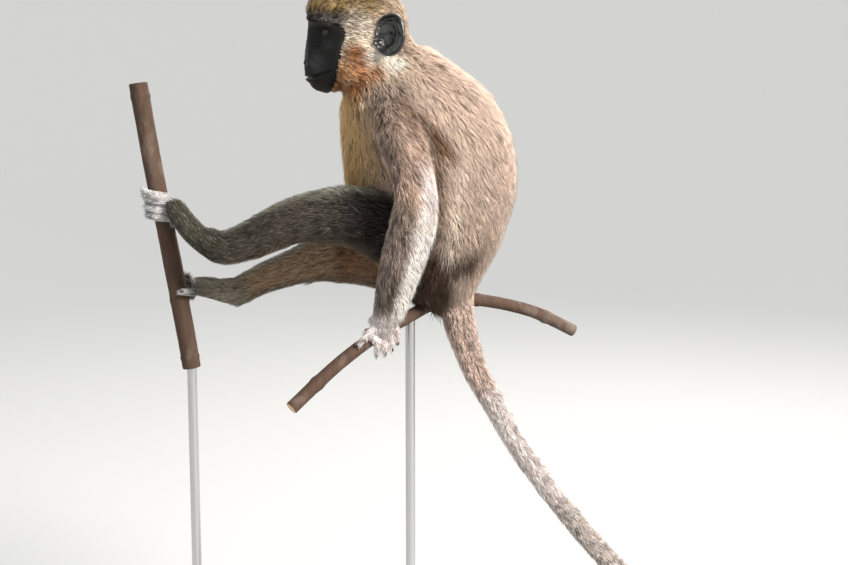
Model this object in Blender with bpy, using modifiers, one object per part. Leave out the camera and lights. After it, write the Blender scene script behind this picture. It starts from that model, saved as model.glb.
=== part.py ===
"""Vervet monkey, life size, sitting on a branch with both feet against a leaning stem.

A still display model: flesh and coat are closed solids out to the tips of the fur, parted at the
joints of the body by thin gaps. Short cut lengths of the branch and of the stem are its perch, and
two rods on a flat base carry them. Metres, +Z up, the monkey faces -X and its left side is at -Y.
"""

import math

import bmesh
import bpy
from mathutils import Matrix, Vector

# ---------------------------------------------------------------- driving dimensions
GAP = 0.0003  # between two pieces that touch
BODY_VOXEL = 0.0034
HEAD_VOXEL = 0.0019
PAW_VOXEL = 0.0013
REGION_VOXEL = 0.005

BRANCH_RADIUS = 0.0068
STEM_RADIUS = 0.0098
ROD_RADIUS = 0.005
BASE_SIZE = (0.54, 0.28, 0.018)
BASE_LEFT = -0.344  # as far out as the tail's tip on the other side
BASE_BEVEL = 0.006

TRUNK_SECTIONS = (  # height, front, back, half width
    (0.730, -0.100, -0.010, 0.037),
    (0.706, -0.117, 0.022, 0.053),
    (0.684, -0.120, 0.041, 0.063),
    (0.655, -0.119, 0.055, 0.066),
    (0.625, -0.117, 0.0615, 0.068),
    (0.595, -0.113, 0.0615, 0.069),
    (0.565, -0.107, 0.054, 0.069),
    (0.540, -0.096, 0.045, 0.066),
    (0.518, -0.080, 0.034, 0.060),
    (0.498, -0.064, 0.023, 0.050),
    (0.484, -0.048, 0.010, 0.036),
)

NECK = (  # point, half depth, half width
    ((-0.066, 0.0, 0.690), 0.052, 0.042),
    ((-0.076, 0.0, 0.714), 0.046, 0.037),
    ((-0.086, 0.0, 0.738), 0.042, 0.035),
)

TAIL = (  # point, radius
    ((0.000, 0.000, 0.522), 0.024),
    ((-0.001, -0.008, 0.492), 0.0195),
    ((0.003, -0.014, 0.462), 0.0175),
    ((0.019, -0.014, 0.413), 0.0140),
    ((0.040, -0.012, 0.374), 0.0128),
    ((0.063, -0.008, 0.332), 0.0124),
    ((0.092, -0.004, 0.289), 0.0122),
    ((0.122, 0.000, 0.250), 0.0122),
    ((0.157, 0.004, 0.207), 0.0124),
    ((0.200, 0.010, 0.163), 0.0124),
    ((0.250, 0.018, 0.126), 0.0118),
    ((0.302, 0.027, 0.102), 0.0102),
    ((0.343, 0.035, 0.094), 0.0055),
)
TAIL_CUTS = (3.6, 6.6, 9.4)  # stations where the tail is parted

ARM_LEFT = (  # point, half depth, half width
    ((-0.060, -0.044, 0.676), 0.029, 0.023),
    ((-0.054, -0.0705, 0.648), 0.0238, 0.021),
    ((-0.0435, -0.090, 0.612), 0.0213, 0.0185),
    ((-0.0415, -0.0975, 0.587), 0.0212, 0.0175),
    ((-0.0525, -0.0920, 0.545), 0.0205, 0.0165),
    ((-0.0640, -0.0845, 0.505), 0.0170, 0.0145),
    ((-0.0690, -0.0790, 0.481), 0.0135, 0.0115),
)
ARM_RIGHT = (
    ((-0.060, 0.044, 0.676), 0.029, 0.023),
    ((-0.044, 0.0725, 0.651), 0.0238, 0.021),
    ((-0.012, 0.093, 0.618), 0.0213, 0.0190),
    ((0.005, 0.099, 0.599), 0.0212, 0.0180),
    ((-0.036, 0.095, 0.587), 0.0190, 0.0165),
    ((-0.072, 0.087, 0.576), 0.0155, 0.0140),
    ((-0.098, 0.080, 0.569), 0.0125, 0.0110),
)
LEG_LEFT = (
    ((-0.010, -0.028, 0.526), 0.046, 0.034),
    ((-0.060, -0.0405, 0.556), 0.039, 0.029),
    ((-0.104, -0.054, 0.573), 0.0312, 0.026),
    ((-0.157, -0.0515, 0.570), 0.0240, 0.0215),
    ((-0.208, -0.0435, 0.5480), 0.0198, 0.0175),
    ((-0.2330, -0.0400, 0.5408), 0.0168, 0.0148),
    ((-0.2510, -0.0345, 0.5470), 0.0142, 0.0128),
)
LEG_RIGHT = (
    ((-0.010, 0.028, 0.516), 0.046, 0.034),
    ((-0.062, 0.046, 0.522), 0.040, 0.031),
    ((-0.112, 0.057, 0.524), 0.0345, 0.028),
    ((-0.160, 0.048, 0.514), 0.0215, 0.0200),
    ((-0.204, 0.037, 0.4990), 0.0165, 0.0160),
    ((-0.2265, 0.0315, 0.4880), 0.0145, 0.0135),
    ((-0.2430, 0.0265, 0.4885), 0.0120, 0.0115),
)
ARM_CUTS = (3.0, 5.75)  # elbow and wrist, counted in stations
LEG_CUTS = (2.15, 4.75)  # knee and ankle

STEM_ROUTE = (
    (-0.3240, 0.0, 0.705),
    (-0.3182, 0.0, 0.665),
    (-0.3103, 0.0, 0.615),
    (-0.3000, 0.0, 0.557),
    (-0.2900, 0.0, 0.497),
    (-0.2818, 0.0, 0.445),
    (-0.2765, 0.0, 0.410),
)
BRANCH_ROUTE = (
    (-0.160, -0.124, 0.396),
    (-0.120, -0.096, 0.430),
    (-0.084, -0.071, 0.4545),
    (-0.052, -0.036, 0.4680),
    (-0.019, 0.006, 0.4780),
    (0.021, 0.034, 0.4770),
    (0.082, 0.058, 0.4610),
    (0.132, 0.074, 0.4360),
)

MUZZLE = (  # point, half height, half width, from the nose back into the skull
    ((-0.1540, 0, 0.7235), 0.0085, 0.0068),
    ((-0.1508, 0, 0.7215), 0.0158, 0.0124),
    ((-0.1448, 0, 0.7212), 0.0225, 0.0160),
    ((-0.1365, 0, 0.7230), 0.0275, 0.0192),
    ((-0.1270, 0, 0.7265), 0.0325, 0.0235),
    ((-0.1130, 0, 0.7330), 0.0380, 0.0290),
    ((-0.0980, 0, 0.7380), 0.0400, 0.0330),
)
JAW = (
    ((-0.1385, 0, 0.7065), 0.0088, 0.0100),
    ((-0.1250, 0, 0.7060), 0.0100, 0.0160),
    ((-0.1080, 0, 0.7100), 0.0150, 0.0230),
)
NOSE_BRIDGE = (
    ((-0.1405, 0, 0.7680), 0.0090, 0.0095),
    ((-0.1435, 0, 0.7520), 0.0080, 0.0065),
    ((-0.1465, 0, 0.7390), 0.0070, 0.0070),
    ((-0.1478, 0, 0.7300), 0.0065, 0.0080),
)
BROW = (
    ((-0.1290, -0.0255, 0.7645), 0.0062, 0.0080),
    ((-0.1405, -0.0155, 0.7685), 0.0068, 0.0085),
    ((-0.1435, 0.0000, 0.7695), 0.0070, 0.0085),
    ((-0.1405, 0.0155, 0.7685), 0.0068, 0.0085),
    ((-0.1290, 0.0255, 0.7645), 0.0062, 0.0080),
)

EYE_RADIUS = 0.0082
EYE_CENTRE = (-0.1262, 0.0160, 0.7550)
EAR_CENTRE = (-0.0660, 0.0420, 0.7505)
NECK_CUT = ((-0.088, 0.0, 0.690), (-0.43, 0.0, 0.90))
HEAD_CUT = ((-0.085, 0.0, 0.719), (-0.54, 0.0, 0.84))


# ---------------------------------------------------------------- scene and materials
def clear_scene():
    for obj in list(bpy.data.objects):
        bpy.data.objects.remove(obj, do_unlink=True)


def new_collection(name):
    collection = bpy.data.collections.new(name)
    bpy.context.scene.collection.children.link(collection)
    return collection


def material(name, colour, roughness, metallic=0.0):
    made = bpy.data.materials.new(name)
    made.use_nodes = True
    shader = made.node_tree.nodes["Principled BSDF"]
    shader.inputs["Base Color"].default_value = (*colour, 1.0)
    shader.inputs["Roughness"].default_value = roughness
    shader.inputs["Metallic"].default_value = metallic
    return made


clear_scene()
MODEL = new_collection("vervet_monkey_on_perch")

OLIVE_COAT = material("olive_coat", (0.42, 0.31, 0.20), 0.90)
GREY_COAT = material("grey_coat", (0.24, 0.21, 0.19), 0.90)
CROWN_COAT = material("crown_coat", (0.45, 0.32, 0.15), 0.90)
BARE_SKIN = material("bare_black_skin", (0.030, 0.028, 0.032), 0.45)
EYE_GLASS = material("eye_glass", (0.10, 0.055, 0.02), 0.08)
BARK = material("bark", (0.30, 0.20, 0.16), 0.85)
STEEL = material("stand_steel", (0.55, 0.55, 0.56), 0.35, 1.0)
BASE_BLACK = material("stand_base_paint", (0.05, 0.05, 0.055), 0.40)


# ---------------------------------------------------------------- shapes
def blend(stations, at):
    """Every number of a station list at a fractional station, on a smooth curve through them."""
    last = len(stations) - 1
    at = min(max(at, 0.0), float(last))
    i = min(int(at), last - 1)
    t = at - i
    rows = [stations[min(max(i + k, 0), last)] for k in (-1, 0, 1, 2)]
    weights = (
        -0.5 * t + t * t - 0.5 * t**3,
        1 - 2.5 * t * t + 1.5 * t**3,
        0.5 * t + 2 * t * t - 1.5 * t**3,
        -0.5 * t * t + 0.5 * t**3,
    )
    point = sum((Vector(row[0]) * w for row, w in zip(rows, weights)), Vector())
    sizes = [sum(row[k] * w for row, w in zip(rows, weights)) for k in range(1, len(rows[1]))]
    return point, sizes


def tangent(stations, at):
    step = 0.02
    return (blend(stations, at + step)[0] - blend(stations, at - step)[0]).normalized()


def halving(stations, at):
    """The direction square to the plane that halves a limb's bend at a joint."""
    here = blend(stations, at)[0]
    before = (here - blend(stations, at - 1)[0]).normalized()
    after = (blend(stations, at + 1)[0] - here).normalized()
    return (before + after).normalized()


def bridge(bm, rings):
    """Closed skin over a row of equal rings, with flat ends."""
    sides = len(rings[0])
    for near, far in zip(rings, rings[1:]):
        for k in range(sides):
            bm.faces.new((near[k], near[(k + 1) % sides], far[(k + 1) % sides], far[k]))
    bm.faces.new(list(reversed(rings[0])))
    bm.faces.new(rings[-1])


def add_limb(
    bm,
    stations,
    sides=20,
    per_station=5,
    grow=0.0,
    start=0.0,
    rounded=True,
    reference=(0, 1, 0),
    square_to=None,
):
    """A bent limb: oval sections square to its axis or to a fixed line.

    The second size of a station lies along the reference direction, the first across it.
    """
    end = len(stations) - 1
    count = max(2, round((end - start) * per_station))
    rings = []
    for n in range(count + 1):
        at = start + (end - start) * n / count
        centre, sizes = blend(stations, at)
        depth = sizes[0] + grow
        width = sizes[-1] + grow
        along = Vector(square_to) if square_to else tangent(stations, at)
        across = Vector(reference)
        across = (across - along * across.dot(along)).normalized()
        up = along.cross(across)
        ring = []
        for k in range(sides):
            turn = 2 * math.pi * k / sides
            spoke = up * depth * math.sin(turn) + across * width * math.cos(turn)
            ring.append(bm.verts.new(centre + spoke))
        rings.append(ring)
    bridge(bm, rings)
    for at in (start, end) if rounded else ():
        centre, sizes = blend(stations, at)
        add_ball(bm, centre, [0.96 * (min(sizes) + grow)] * 3)


def add_level_stack(bm, sections, sides=28, per_section=4):
    """A torso: level oval sections, fuller behind than in front."""
    rows = [((0, 0, z), front, back, half) for z, front, back, half in sections]
    rings = []
    count = (len(rows) - 1) * per_section
    for n in range(count + 1):
        point, (front, back, half) = blend(rows, n / per_section)
        ring = []
        for k in range(sides):
            turn = -2 * math.pi * k / sides
            fore = math.cos(turn)
            x = (front + back) / 2 + fore * (back - front) / 2
            ring.append(bm.verts.new((x, half * math.sin(turn) * (1 + 0.10 * fore), point.z)))
        rings.append(ring)
    bridge(bm, rings)


def add_ball(bm, centre, radii, turn=(0, 0, 0), fineness=(20, 12)):
    placed = Matrix.Translation(centre)
    for angle, axis in zip(turn, "XYZ"):
        placed = placed @ Matrix.Rotation(angle, 4, axis)
    placed = placed @ Matrix.Diagonal((*radii, 1.0))
    bmesh.ops.create_uvsphere(
        bm, u_segments=fineness[0], v_segments=fineness[1], radius=1.0, matrix=placed
    )


# ---------------------------------------------------------------- working on solids
def object_of(bm, name, look):
    bmesh.ops.recalc_face_normals(bm, faces=bm.faces)
    mesh = bpy.data.meshes.new(name)
    bm.to_mesh(mesh)
    bm.free()
    obj = bpy.data.objects.new(name, mesh)
    MODEL.objects.link(obj)
    mesh.materials.append(look)
    return obj


def applied(obj):
    """Bakes an object's modifiers into its mesh."""
    graph = bpy.context.evaluated_depsgraph_get()
    mesh = bpy.data.meshes.new_from_object(obj.evaluated_get(graph))
    old = obj.data
    obj.modifiers.clear()
    obj.data = mesh
    bpy.data.meshes.remove(old)
    return obj


def fused(bm, name, look, voxel, rounds, share):
    """One soft solid out of overlapping shapes: melted together, eased, and thinned to few faces."""
    obj = object_of(bm, name, look)
    melt = obj.modifiers.new("melt", "REMESH")
    melt.mode = "VOXEL"
    melt.voxel_size = voxel
    ease = obj.modifiers.new("ease", "SMOOTH")
    ease.factor = 0.5
    ease.iterations = rounds
    thin = obj.modifiers.new("thin", "DECIMATE")
    thin.ratio = share
    thin.use_collapse_triangulate = True
    return applied(obj)


def copy_of(obj, name):
    made = bpy.data.objects.new(name, obj.data.copy())
    MODEL.objects.link(made)
    return made


def combine(obj, other, operation, swell=0.0):
    """A Boolean of an object with another, which may first swell by a gap."""
    tool = copy_of(other, "tool")
    if swell:
        puff = tool.modifiers.new("swell", "DISPLACE")
        puff.strength = swell
        puff.mid_level = 0.0
        applied(tool)
    cut = obj.modifiers.new("combine", "BOOLEAN")
    cut.operation = operation
    cut.object = tool
    applied(obj)
    bpy.data.objects.remove(tool, do_unlink=True)
    return obj


def sliced(obj, name, point, normal, keep_above):
    """The part of a closed solid on one side of a plane, half a gap away from it."""
    normal = Vector(normal).normalized()
    side = 1.0 if keep_above else -1.0
    bm = bmesh.new()
    bm.from_mesh(obj.data)
    geometry = bm.verts[:] + bm.edges[:] + bm.faces[:]
    cut = bmesh.ops.bisect_plane(
        bm,
        geom=geometry,
        dist=1e-7,
        plane_co=Vector(point) + normal * side * GAP / 2,
        plane_no=normal * side,
        clear_inner=True,
    )
    rim = [edge for edge in cut["geom_cut"] if isinstance(edge, bmesh.types.BMEdge)]
    bmesh.ops.holes_fill(bm, edges=rim, sides=0)
    bmesh.ops.triangulate(bm, faces=[face for face in bm.faces if len(face.verts) > 3])
    bmesh.ops.recalc_face_normals(bm, faces=bm.faces)
    made = object_of(bm, name, obj.data.materials[0])
    keep_largest(made)
    return made


def keep_largest(obj):
    """Drops the crumbs that a cut can leave beside the main body."""
    bm = bmesh.new()
    bm.from_mesh(obj.data)
    left = set(bm.verts)
    islands = []
    while left:
        edge_of = [left.pop()]
        island = set(edge_of)
        while edge_of:
            for edge in edge_of.pop().link_edges:
                for vert in edge.verts:
                    if vert not in island:
                        island.add(vert)
                        left.discard(vert)
                        edge_of.append(vert)
        islands.append(island)
    islands.sort(key=len, reverse=True)
    for island in islands[1:]:
        bmesh.ops.delete(bm, geom=list(island), context="VERTS")
    bm.to_mesh(obj.data)
    bm.free()


def discard(*objects):
    for obj in objects:
        bpy.data.objects.remove(obj, do_unlink=True)


def parted(limb, stations, cuts, names):
    """A limb in lengths, each joint's plane halving the bend there."""
    rest = limb
    for at, name in zip(cuts, names):
        point = blend(stations, at)[0]
        normal = halving(stations, at)
        sliced(rest, name, point, normal, keep_above=False)
        beyond = sliced(rest, "beyond", point, normal, keep_above=True)
        discard(rest)
        rest = beyond
    return rest


def route_tube(name, route, radius, look):
    """A round stick along a route, as a curve with flat ends, made into a mesh."""
    curve = bpy.data.curves.new(name, "CURVE")
    curve.dimensions = "3D"
    curve.bevel_depth = radius
    curve.bevel_resolution = 2
    curve.use_fill_caps = True
    spline = curve.splines.new("POLY")
    stations = [(point, radius) for point in route]
    count = 2 * (len(route) - 1)
    spline.points.add(count)
    for n in range(count + 1):
        spline.points[n].co = (*blend(stations, n / 2)[0], 1.0)
    guide = bpy.data.objects.new(name + "_route", curve)
    MODEL.objects.link(guide)
    graph = bpy.context.evaluated_depsgraph_get()
    mesh = bpy.data.meshes.new_from_object(guide.evaluated_get(graph))
    bpy.data.objects.remove(guide, do_unlink=True)
    bm = bmesh.new()
    bm.from_mesh(mesh)
    bmesh.ops.remove_doubles(bm, verts=bm.verts, dist=1e-6)
    obj = object_of(bm, name, look)
    obj.data.materials.clear()
    obj.data.materials.append(look)
    return obj


# ---------------------------------------------------------------- perch and stand
def perch_and_stand():
    stem = route_tube("perch_stem", STEM_ROUTE, STEM_RADIUS, BARK)
    branch = route_tube("perch_branch", BRANCH_ROUTE, BRANCH_RADIUS, BARK)

    length, depth, thick = BASE_SIZE
    bm = bmesh.new()
    bmesh.ops.create_cube(bm, size=1.0, matrix=Matrix.Diagonal((length, depth, thick, 1.0)))
    base = object_of(bm, "stand_base", BASE_BLACK)
    base.location = (BASE_LEFT + length / 2, 0.0, thick / 2)
    edge = base.modifiers.new("rounded_edges", "BEVEL")
    edge.width = BASE_BEVEL
    edge.segments = 3
    bpy.context.view_layer.update()

    stem_foot = Vector(STEM_ROUTE[-1])
    make_rod("stand_rod_stem", stem_foot.x, stem_foot.y, stem_foot.z, stem)
    branch_at = Vector(BRANCH_ROUTE[3]).lerp(Vector(BRANCH_ROUTE[4]), 0.15)
    make_rod("stand_rod_branch", branch_at.x, branch_at.y, branch_at.z, branch)
    return stem, branch


def make_rod(name, x, y, top, carried):
    """An upright rod from the base into the piece that it carries, cut to that piece's shape."""
    bottom = BASE_SIZE[2] + GAP
    bm = bmesh.new()
    bmesh.ops.create_cone(
        bm,
        cap_ends=True,
        segments=20,
        radius1=ROD_RADIUS,
        radius2=ROD_RADIUS,
        depth=top - bottom,
        matrix=Matrix.Translation((x, y, (top + bottom) / 2)),
    )
    rod = object_of(bm, name, STEEL)
    combine(rod, carried, "DIFFERENCE", GAP)
    keep_largest(rod)


# ---------------------------------------------------------------- body
def make_body():
    bm = bmesh.new()
    add_level_stack(bm, TRUNK_SECTIONS)
    add_ball(bm, (-0.018, 0, 0.500), (0.040, 0.044, 0.030))
    add_limb(bm, NECK)
    for arm in (ARM_LEFT, ARM_RIGHT):
        add_limb(bm, arm)
    for leg in (LEG_LEFT, LEG_RIGHT):
        add_limb(bm, leg)
    add_limb(bm, [(p, r, r) for p, r in TAIL])
    add_ball(bm, (-0.058, 0, 0.7150), (0.050, 0.040, 0.034))
    return fused(bm, "trunk", OLIVE_COAT, BODY_VOXEL, 6, 0.032)


def limb_region(stations, start, swell, sharply_bent):
    """A solid somewhat wider than a limb, which marks what belongs to it."""
    bm = bmesh.new()
    if not sharply_bent:
        add_limb(bm, stations, sides=12, per_station=1, grow=swell, start=start, rounded=False)
        return object_of(bm, "region", GREY_COAT)
    add_limb(bm, stations, sides=16, per_station=3, grow=swell, start=start, rounded=False)
    return fused(bm, "region", GREY_COAT, REGION_VOXEL, 1, 0.10)


def part_limbs(body):
    """Arms, legs and tail taken off the trunk."""
    tail = [(p, r, r) for p, r in TAIL]
    limbs = {}
    for name, stations, start, swell, sharply_bent in (
        ("arm_left", ARM_LEFT, 0.35, 0.006, False),
        ("arm_right", ARM_RIGHT, 0.35, 0.006, True),
        ("leg_left", LEG_LEFT, 0.45, 0.007, False),
        ("leg_right", LEG_RIGHT, 0.45, 0.007, False),
        ("tail", tail, 1.0, 0.005, False),
    ):
        region = limb_region(stations, start, swell, sharply_bent)
        limb = copy_of(body, name)
        combine(limb, region, "INTERSECT")
        keep_largest(limb)
        combine(body, region, "DIFFERENCE", GAP)
        keep_largest(body)
        discard(region)
        limbs[name] = limb
    return limbs


# ---------------------------------------------------------------- head
def make_head():
    bm = bmesh.new()
    add_ball(bm, (-0.0945, 0, 0.7605), (0.0462, 0.0385, 0.0465))
    add_ball(bm, (-0.1130, 0, 0.7755), (0.0400, 0.0310, 0.0285))
    add_ball(bm, (-0.1005, 0, 0.7690), (0.0380, 0.0355, 0.0375))
    add_ball(bm, (-0.0880, 0, 0.7400), (0.0400, 0.0385, 0.0340))
    add_limb(bm, MUZZLE, rounded=False, square_to=(1, 0, 0))
    add_limb(bm, JAW)
    add_limb(bm, NOSE_BRIDGE)
    add_limb(bm, BROW, reference=(1, 0, 0))
    for side in (-1, 1):
        cheekbone = (
            ((-0.1335, side * 0.0105, 0.7370), 0.0095, 0.0062),
            ((-0.1255, side * 0.0172, 0.7375), 0.0120, 0.0078),
            ((-0.1130, side * 0.0240, 0.7385), 0.0150, 0.0085),
        )
        add_limb(bm, cheekbone)
        add_ball(bm, (-0.1000, side * 0.0190, 0.7290), (0.0275, 0.0210, 0.0300))
    add_limb(bm, NECK)
    head = fused(bm, "head_whole", CROWN_COAT, HEAD_VOXEL, 6, 0.034)
    made = sliced(head, "head", *HEAD_CUT, keep_above=True)
    discard(head)
    return made


def make_eyes_and_ears(head):
    x, y, z = EYE_CENTRE
    for name, side in (("eye_left", -1), ("eye_right", 1)):
        bm = bmesh.new()
        add_ball(bm, (x, side * y, z), [EYE_RADIUS] * 3, (0, math.pi / 2, 0), (12, 8))
        eye = object_of(bm, name, EYE_GLASS)
        eye.data.shade_smooth()
        combine(head, eye, "DIFFERENCE", GAP)
    keep_largest(head)

    x, y, z = EAR_CENTRE
    for name, side in (("ear_left", -1), ("ear_right", 1)):
        centre = Vector((x, side * y, z))
        turn = (math.radians(side * -8), math.radians(-6), math.radians(side * 30))
        bm = bmesh.new()
        add_ball(bm, centre, (0.0180, 0.0060, 0.0225), turn)
        add_ball(bm, centre + Vector((-0.010, side * -0.0065, -0.004)), (0.010, 0.0070, 0.014), turn)
        ear = fused(bm, name, BARE_SKIN, PAW_VOXEL, 2, 0.5)
        hollow = bmesh.new()
        add_ball(hollow, centre + Vector((-0.003, side * 0.0062, 0.001)), (0.0135, 0.0058, 0.0185), turn)
        cup = object_of(hollow, "cup", BARE_SKIN)
        combine(ear, cup, "DIFFERENCE")
        discard(cup)
        thin = ear.modifiers.new("thin", "DECIMATE")
        thin.ratio = 190 / max(190, len(ear.data.polygons))
        applied(ear)
        combine(ear, head, "DIFFERENCE", GAP)
        keep_largest(ear)


# ---------------------------------------------------------------- hands and feet
def grip_digit(bm, axis_point, axis, start, sweep, reach, radius, bulge=0.0, shift=0.0):
    """A digit curled about a stick: an arc round its axis, thinner to the tip."""
    axis = Vector(axis).normalized()
    east = (Vector((1, 0, 0)) - axis * axis.x).normalized()
    north = axis.cross(east)
    steps = 6
    stations = []
    for n in range(steps + 1):
        t = n / steps
        angle = math.radians(start + sweep * t)
        out = reach + bulge * math.sin(math.pi * t)
        spoke = east * math.cos(angle) + north * math.sin(angle)
        point = Vector(axis_point) + axis * shift * t + spoke * out
        thick = radius * (1 - 0.30 * t)
        stations.append((tuple(point), thick, thick))
    add_limb(bm, stations, sides=12, per_station=2)


def make_foot_left():
    bm = bmesh.new()
    add_limb(bm, LEG_LEFT, start=4.2)
    sole = (
        ((-0.2360, -0.0395, 0.5350), 0.0120, 0.0112),
        ((-0.2490, -0.0345, 0.5425), 0.0125, 0.0120),
        ((-0.2650, -0.0285, 0.5540), 0.0120, 0.0118),
        ((-0.2765, -0.0240, 0.5660), 0.0113, 0.0116),
        ((-0.2845, -0.0212, 0.5775), 0.0108, 0.0105),
    )
    add_limb(bm, sole)
    for height, lift in ((0.5880, 0.0095), (0.5825, 0.0090), (0.5745, 0.0065), (0.5675, 0.0045)):
        centre = stem_centre(height)
        grip_digit(bm, centre, (0, 0, 1), -38, -122, STEM_RADIUS + 0.0058, 0.0047, 0.004, lift)
    centre = stem_centre(0.561)
    grip_digit(bm, centre, (0, 0, 1), -32, 135, STEM_RADIUS + 0.0062, 0.0055, 0.001, 0.004)
    return fused(bm, "foot_left", GREY_COAT, PAW_VOXEL, 2, 0.023)


def make_foot_right():
    bm = bmesh.new()
    add_limb(bm, LEG_RIGHT, start=4.2)
    sole = (
        ((-0.2300, 0.0300, 0.4800), 0.0098, 0.0100),
        ((-0.2460, 0.0255, 0.4875), 0.0115, 0.0115),
        ((-0.2600, 0.0215, 0.4915), 0.0108, 0.0115),
        ((-0.2730, 0.0195, 0.4935), 0.0092, 0.0105),
    )
    add_limb(bm, sole)
    for height, lift in ((0.5045, 0.002), (0.4980, 0.001), (0.4905, -0.001), (0.4840, -0.002)):
        centre = stem_centre(height)
        grip_digit(bm, centre, (0, 0, 1), 38, 80, STEM_RADIUS + 0.0052, 0.0045, 0.003, lift)
    centre = stem_centre(0.4885)
    grip_digit(bm, centre, (0, 0, 1), 22, -86, STEM_RADIUS + 0.0062, 0.0053, 0.001, 0.0035)
    return fused(bm, "foot_right", GREY_COAT, PAW_VOXEL, 2, 0.023)


def stem_centre(height):
    """The point on the stem's axis at a height."""
    route = [Vector(point) for point in STEM_ROUTE]
    for high, low in zip(route, route[1:]):
        if low.z <= height:
            return low.lerp(high, (height - low.z) / (high.z - low.z))
    return route[-1]


def make_hand_left():
    """Palm on top of the branch, fingers down over its near side, thumb along its top."""
    bm = bmesh.new()
    add_limb(bm, ARM_LEFT, start=5.3)
    grip = Vector(BRANCH_ROUTE[2]).lerp(Vector(BRANCH_ROUTE[3]), 0.22)
    axis = (Vector(BRANCH_ROUTE[3]) - Vector(BRANCH_ROUTE[1])).normalized()
    palm = (
        ((-0.0690, -0.0810, 0.4830), 0.0130, 0.0110),
        ((-0.0715, -0.0790, 0.4730), 0.0135, 0.0095),
        (tuple(grip + Vector((-0.001, -0.0135, 0.0075))), 0.0150, 0.0070),
    )
    add_limb(bm, palm)
    east = (Vector((1, 0, 0)) - axis * axis.x).normalized()
    north = axis.cross(east)
    for along, hang in zip((-0.0140, -0.0046, 0.0048, 0.0142), (0.0095, 0.0125, 0.0130, 0.0110)):
        centre = grip + axis * along
        finger = []
        for angle, out, radius in ((-105, 0.0045, 0.0044), (-60, 0.0050, 0.0041), (-18, 0.0052, 0.0039),
                                   (14, 0.0066, 0.0036), (34, hang, 0.0030)):
            spoke = east * math.cos(math.radians(angle)) + north * math.sin(math.radians(angle))
            slide = axis * -0.0040 * len(finger) / 4
            finger.append((tuple(centre + slide + spoke * (BRANCH_RADIUS + out)), radius, radius))
        add_limb(bm, finger, sides=12, per_station=3)
    thumb = (
        ((-0.0730, -0.0800, 0.4710), 0.0052, 0.0052),
        ((-0.0850, -0.0825, 0.4625), 0.0045, 0.0045),
        ((-0.0965, -0.0890, 0.4520), 0.0034, 0.0034),
    )
    add_limb(bm, thumb, sides=12, per_station=3)
    return fused(bm, "hand_left", GREY_COAT, PAW_VOXEL, 2, 0.023)


def make_hand_right():
    """Laid on the right thigh near the knee, fingers half bent over its outer side."""
    bm = bmesh.new()
    add_limb(bm, ARM_RIGHT, start=5.3)
    palm = (
        ((-0.0980, 0.0840, 0.5700), 0.0120, 0.0110),
        ((-0.1100, 0.0815, 0.5700), 0.0085, 0.0140),
        ((-0.1230, 0.0800, 0.5690), 0.0062, 0.0155),
    )
    add_limb(bm, palm)
    for n, across in enumerate((-0.0125, -0.0042, 0.0042, 0.0125)):
        reach = (0.030, 0.034, 0.033, 0.027)[n]
        finger = (
            ((-0.1190, 0.0805 + across, 0.5695), 0.0046, 0.0046),
            ((-0.1260 - 0.30 * reach, 0.0805 + 1.15 * across, 0.5690), 0.0043, 0.0043),
            ((-0.1260 - 0.72 * reach, 0.0805 + 1.25 * across, 0.5625), 0.0040, 0.0040),
            ((-0.1260 - 0.92 * reach, 0.0805 + 1.30 * across, 0.5530), 0.0035, 0.0035),
        )
        add_limb(bm, finger, sides=12, per_station=3)
    thumb = (
        ((-0.1060, 0.0700, 0.5690), 0.0048, 0.0048),
        ((-0.1150, 0.0610, 0.5680), 0.0043, 0.0043),
        ((-0.1240, 0.0560, 0.5650), 0.0036, 0.0036),
    )
    add_limb(bm, thumb, sides=12, per_station=3)
    return fused(bm, "hand_right", GREY_COAT, PAW_VOXEL, 2, 0.023)


def cut_at_joint(paw, stations, at):
    """A hand or foot without the stretch of limb before its joint."""
    name = paw.name
    paw.name = name + "_whole"
    sliced(paw, name, blend(stations, at)[0], halving(stations, at), keep_above=True)
    discard(paw)
    return bpy.data.objects[name]


# ---------------------------------------------------------------- the model
stem, branch = perch_and_stand()
body = make_body()
limbs = part_limbs(body)
for side, arm, leg in (("left", ARM_LEFT, LEG_LEFT), ("right", ARM_RIGHT, LEG_RIGHT)):
    discard(parted(limbs["arm_" + side], arm, ARM_CUTS, ("upper_arm_" + side, "forearm_" + side)))
    discard(parted(limbs["leg_" + side], leg, LEG_CUTS, ("thigh_" + side, "shank_" + side)))
tail_stations = [(p, r, r) for p, r in TAIL]
tip = parted(limbs["tail"], tail_stations, TAIL_CUTS, ("tail_root", "tail_upper", "tail_lower"))
tip.name = "tail_tip"

body.name = "torso"
upper = sliced(body, "upper", *NECK_CUT, keep_above=True)
sliced(upper, "neck", *HEAD_CUT, keep_above=False)
sliced(body, "trunk", *NECK_CUT, keep_above=False)
discard(upper, body)

head = make_head()
make_eyes_and_ears(head)

paws = (
    cut_at_joint(make_hand_left(), ARM_LEFT, ARM_CUTS[1]),
    cut_at_joint(make_hand_right(), ARM_RIGHT, ARM_CUTS[1]),
    cut_at_joint(make_foot_left(), LEG_LEFT, LEG_CUTS[1]),
    cut_at_joint(make_foot_right(), LEG_RIGHT, LEG_CUTS[1]),
)
for paw in paws:
    combine(paw, branch if "hand" in paw.name else stem, "DIFFERENCE", GAP)
    keep_largest(paw)
for name in ("trunk", "thigh_left", "thigh_right", "tail_root"):
    combine(bpy.data.objects[name], branch, "DIFFERENCE", GAP)
    keep_largest(bpy.data.objects[name])
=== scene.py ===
import math

import bmesh
import bpy
import numpy as np
from mathutils import Matrix, Vector, noise
from mathutils.bvhtree import BVHTree
from mathutils.kdtree import KDTree


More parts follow.
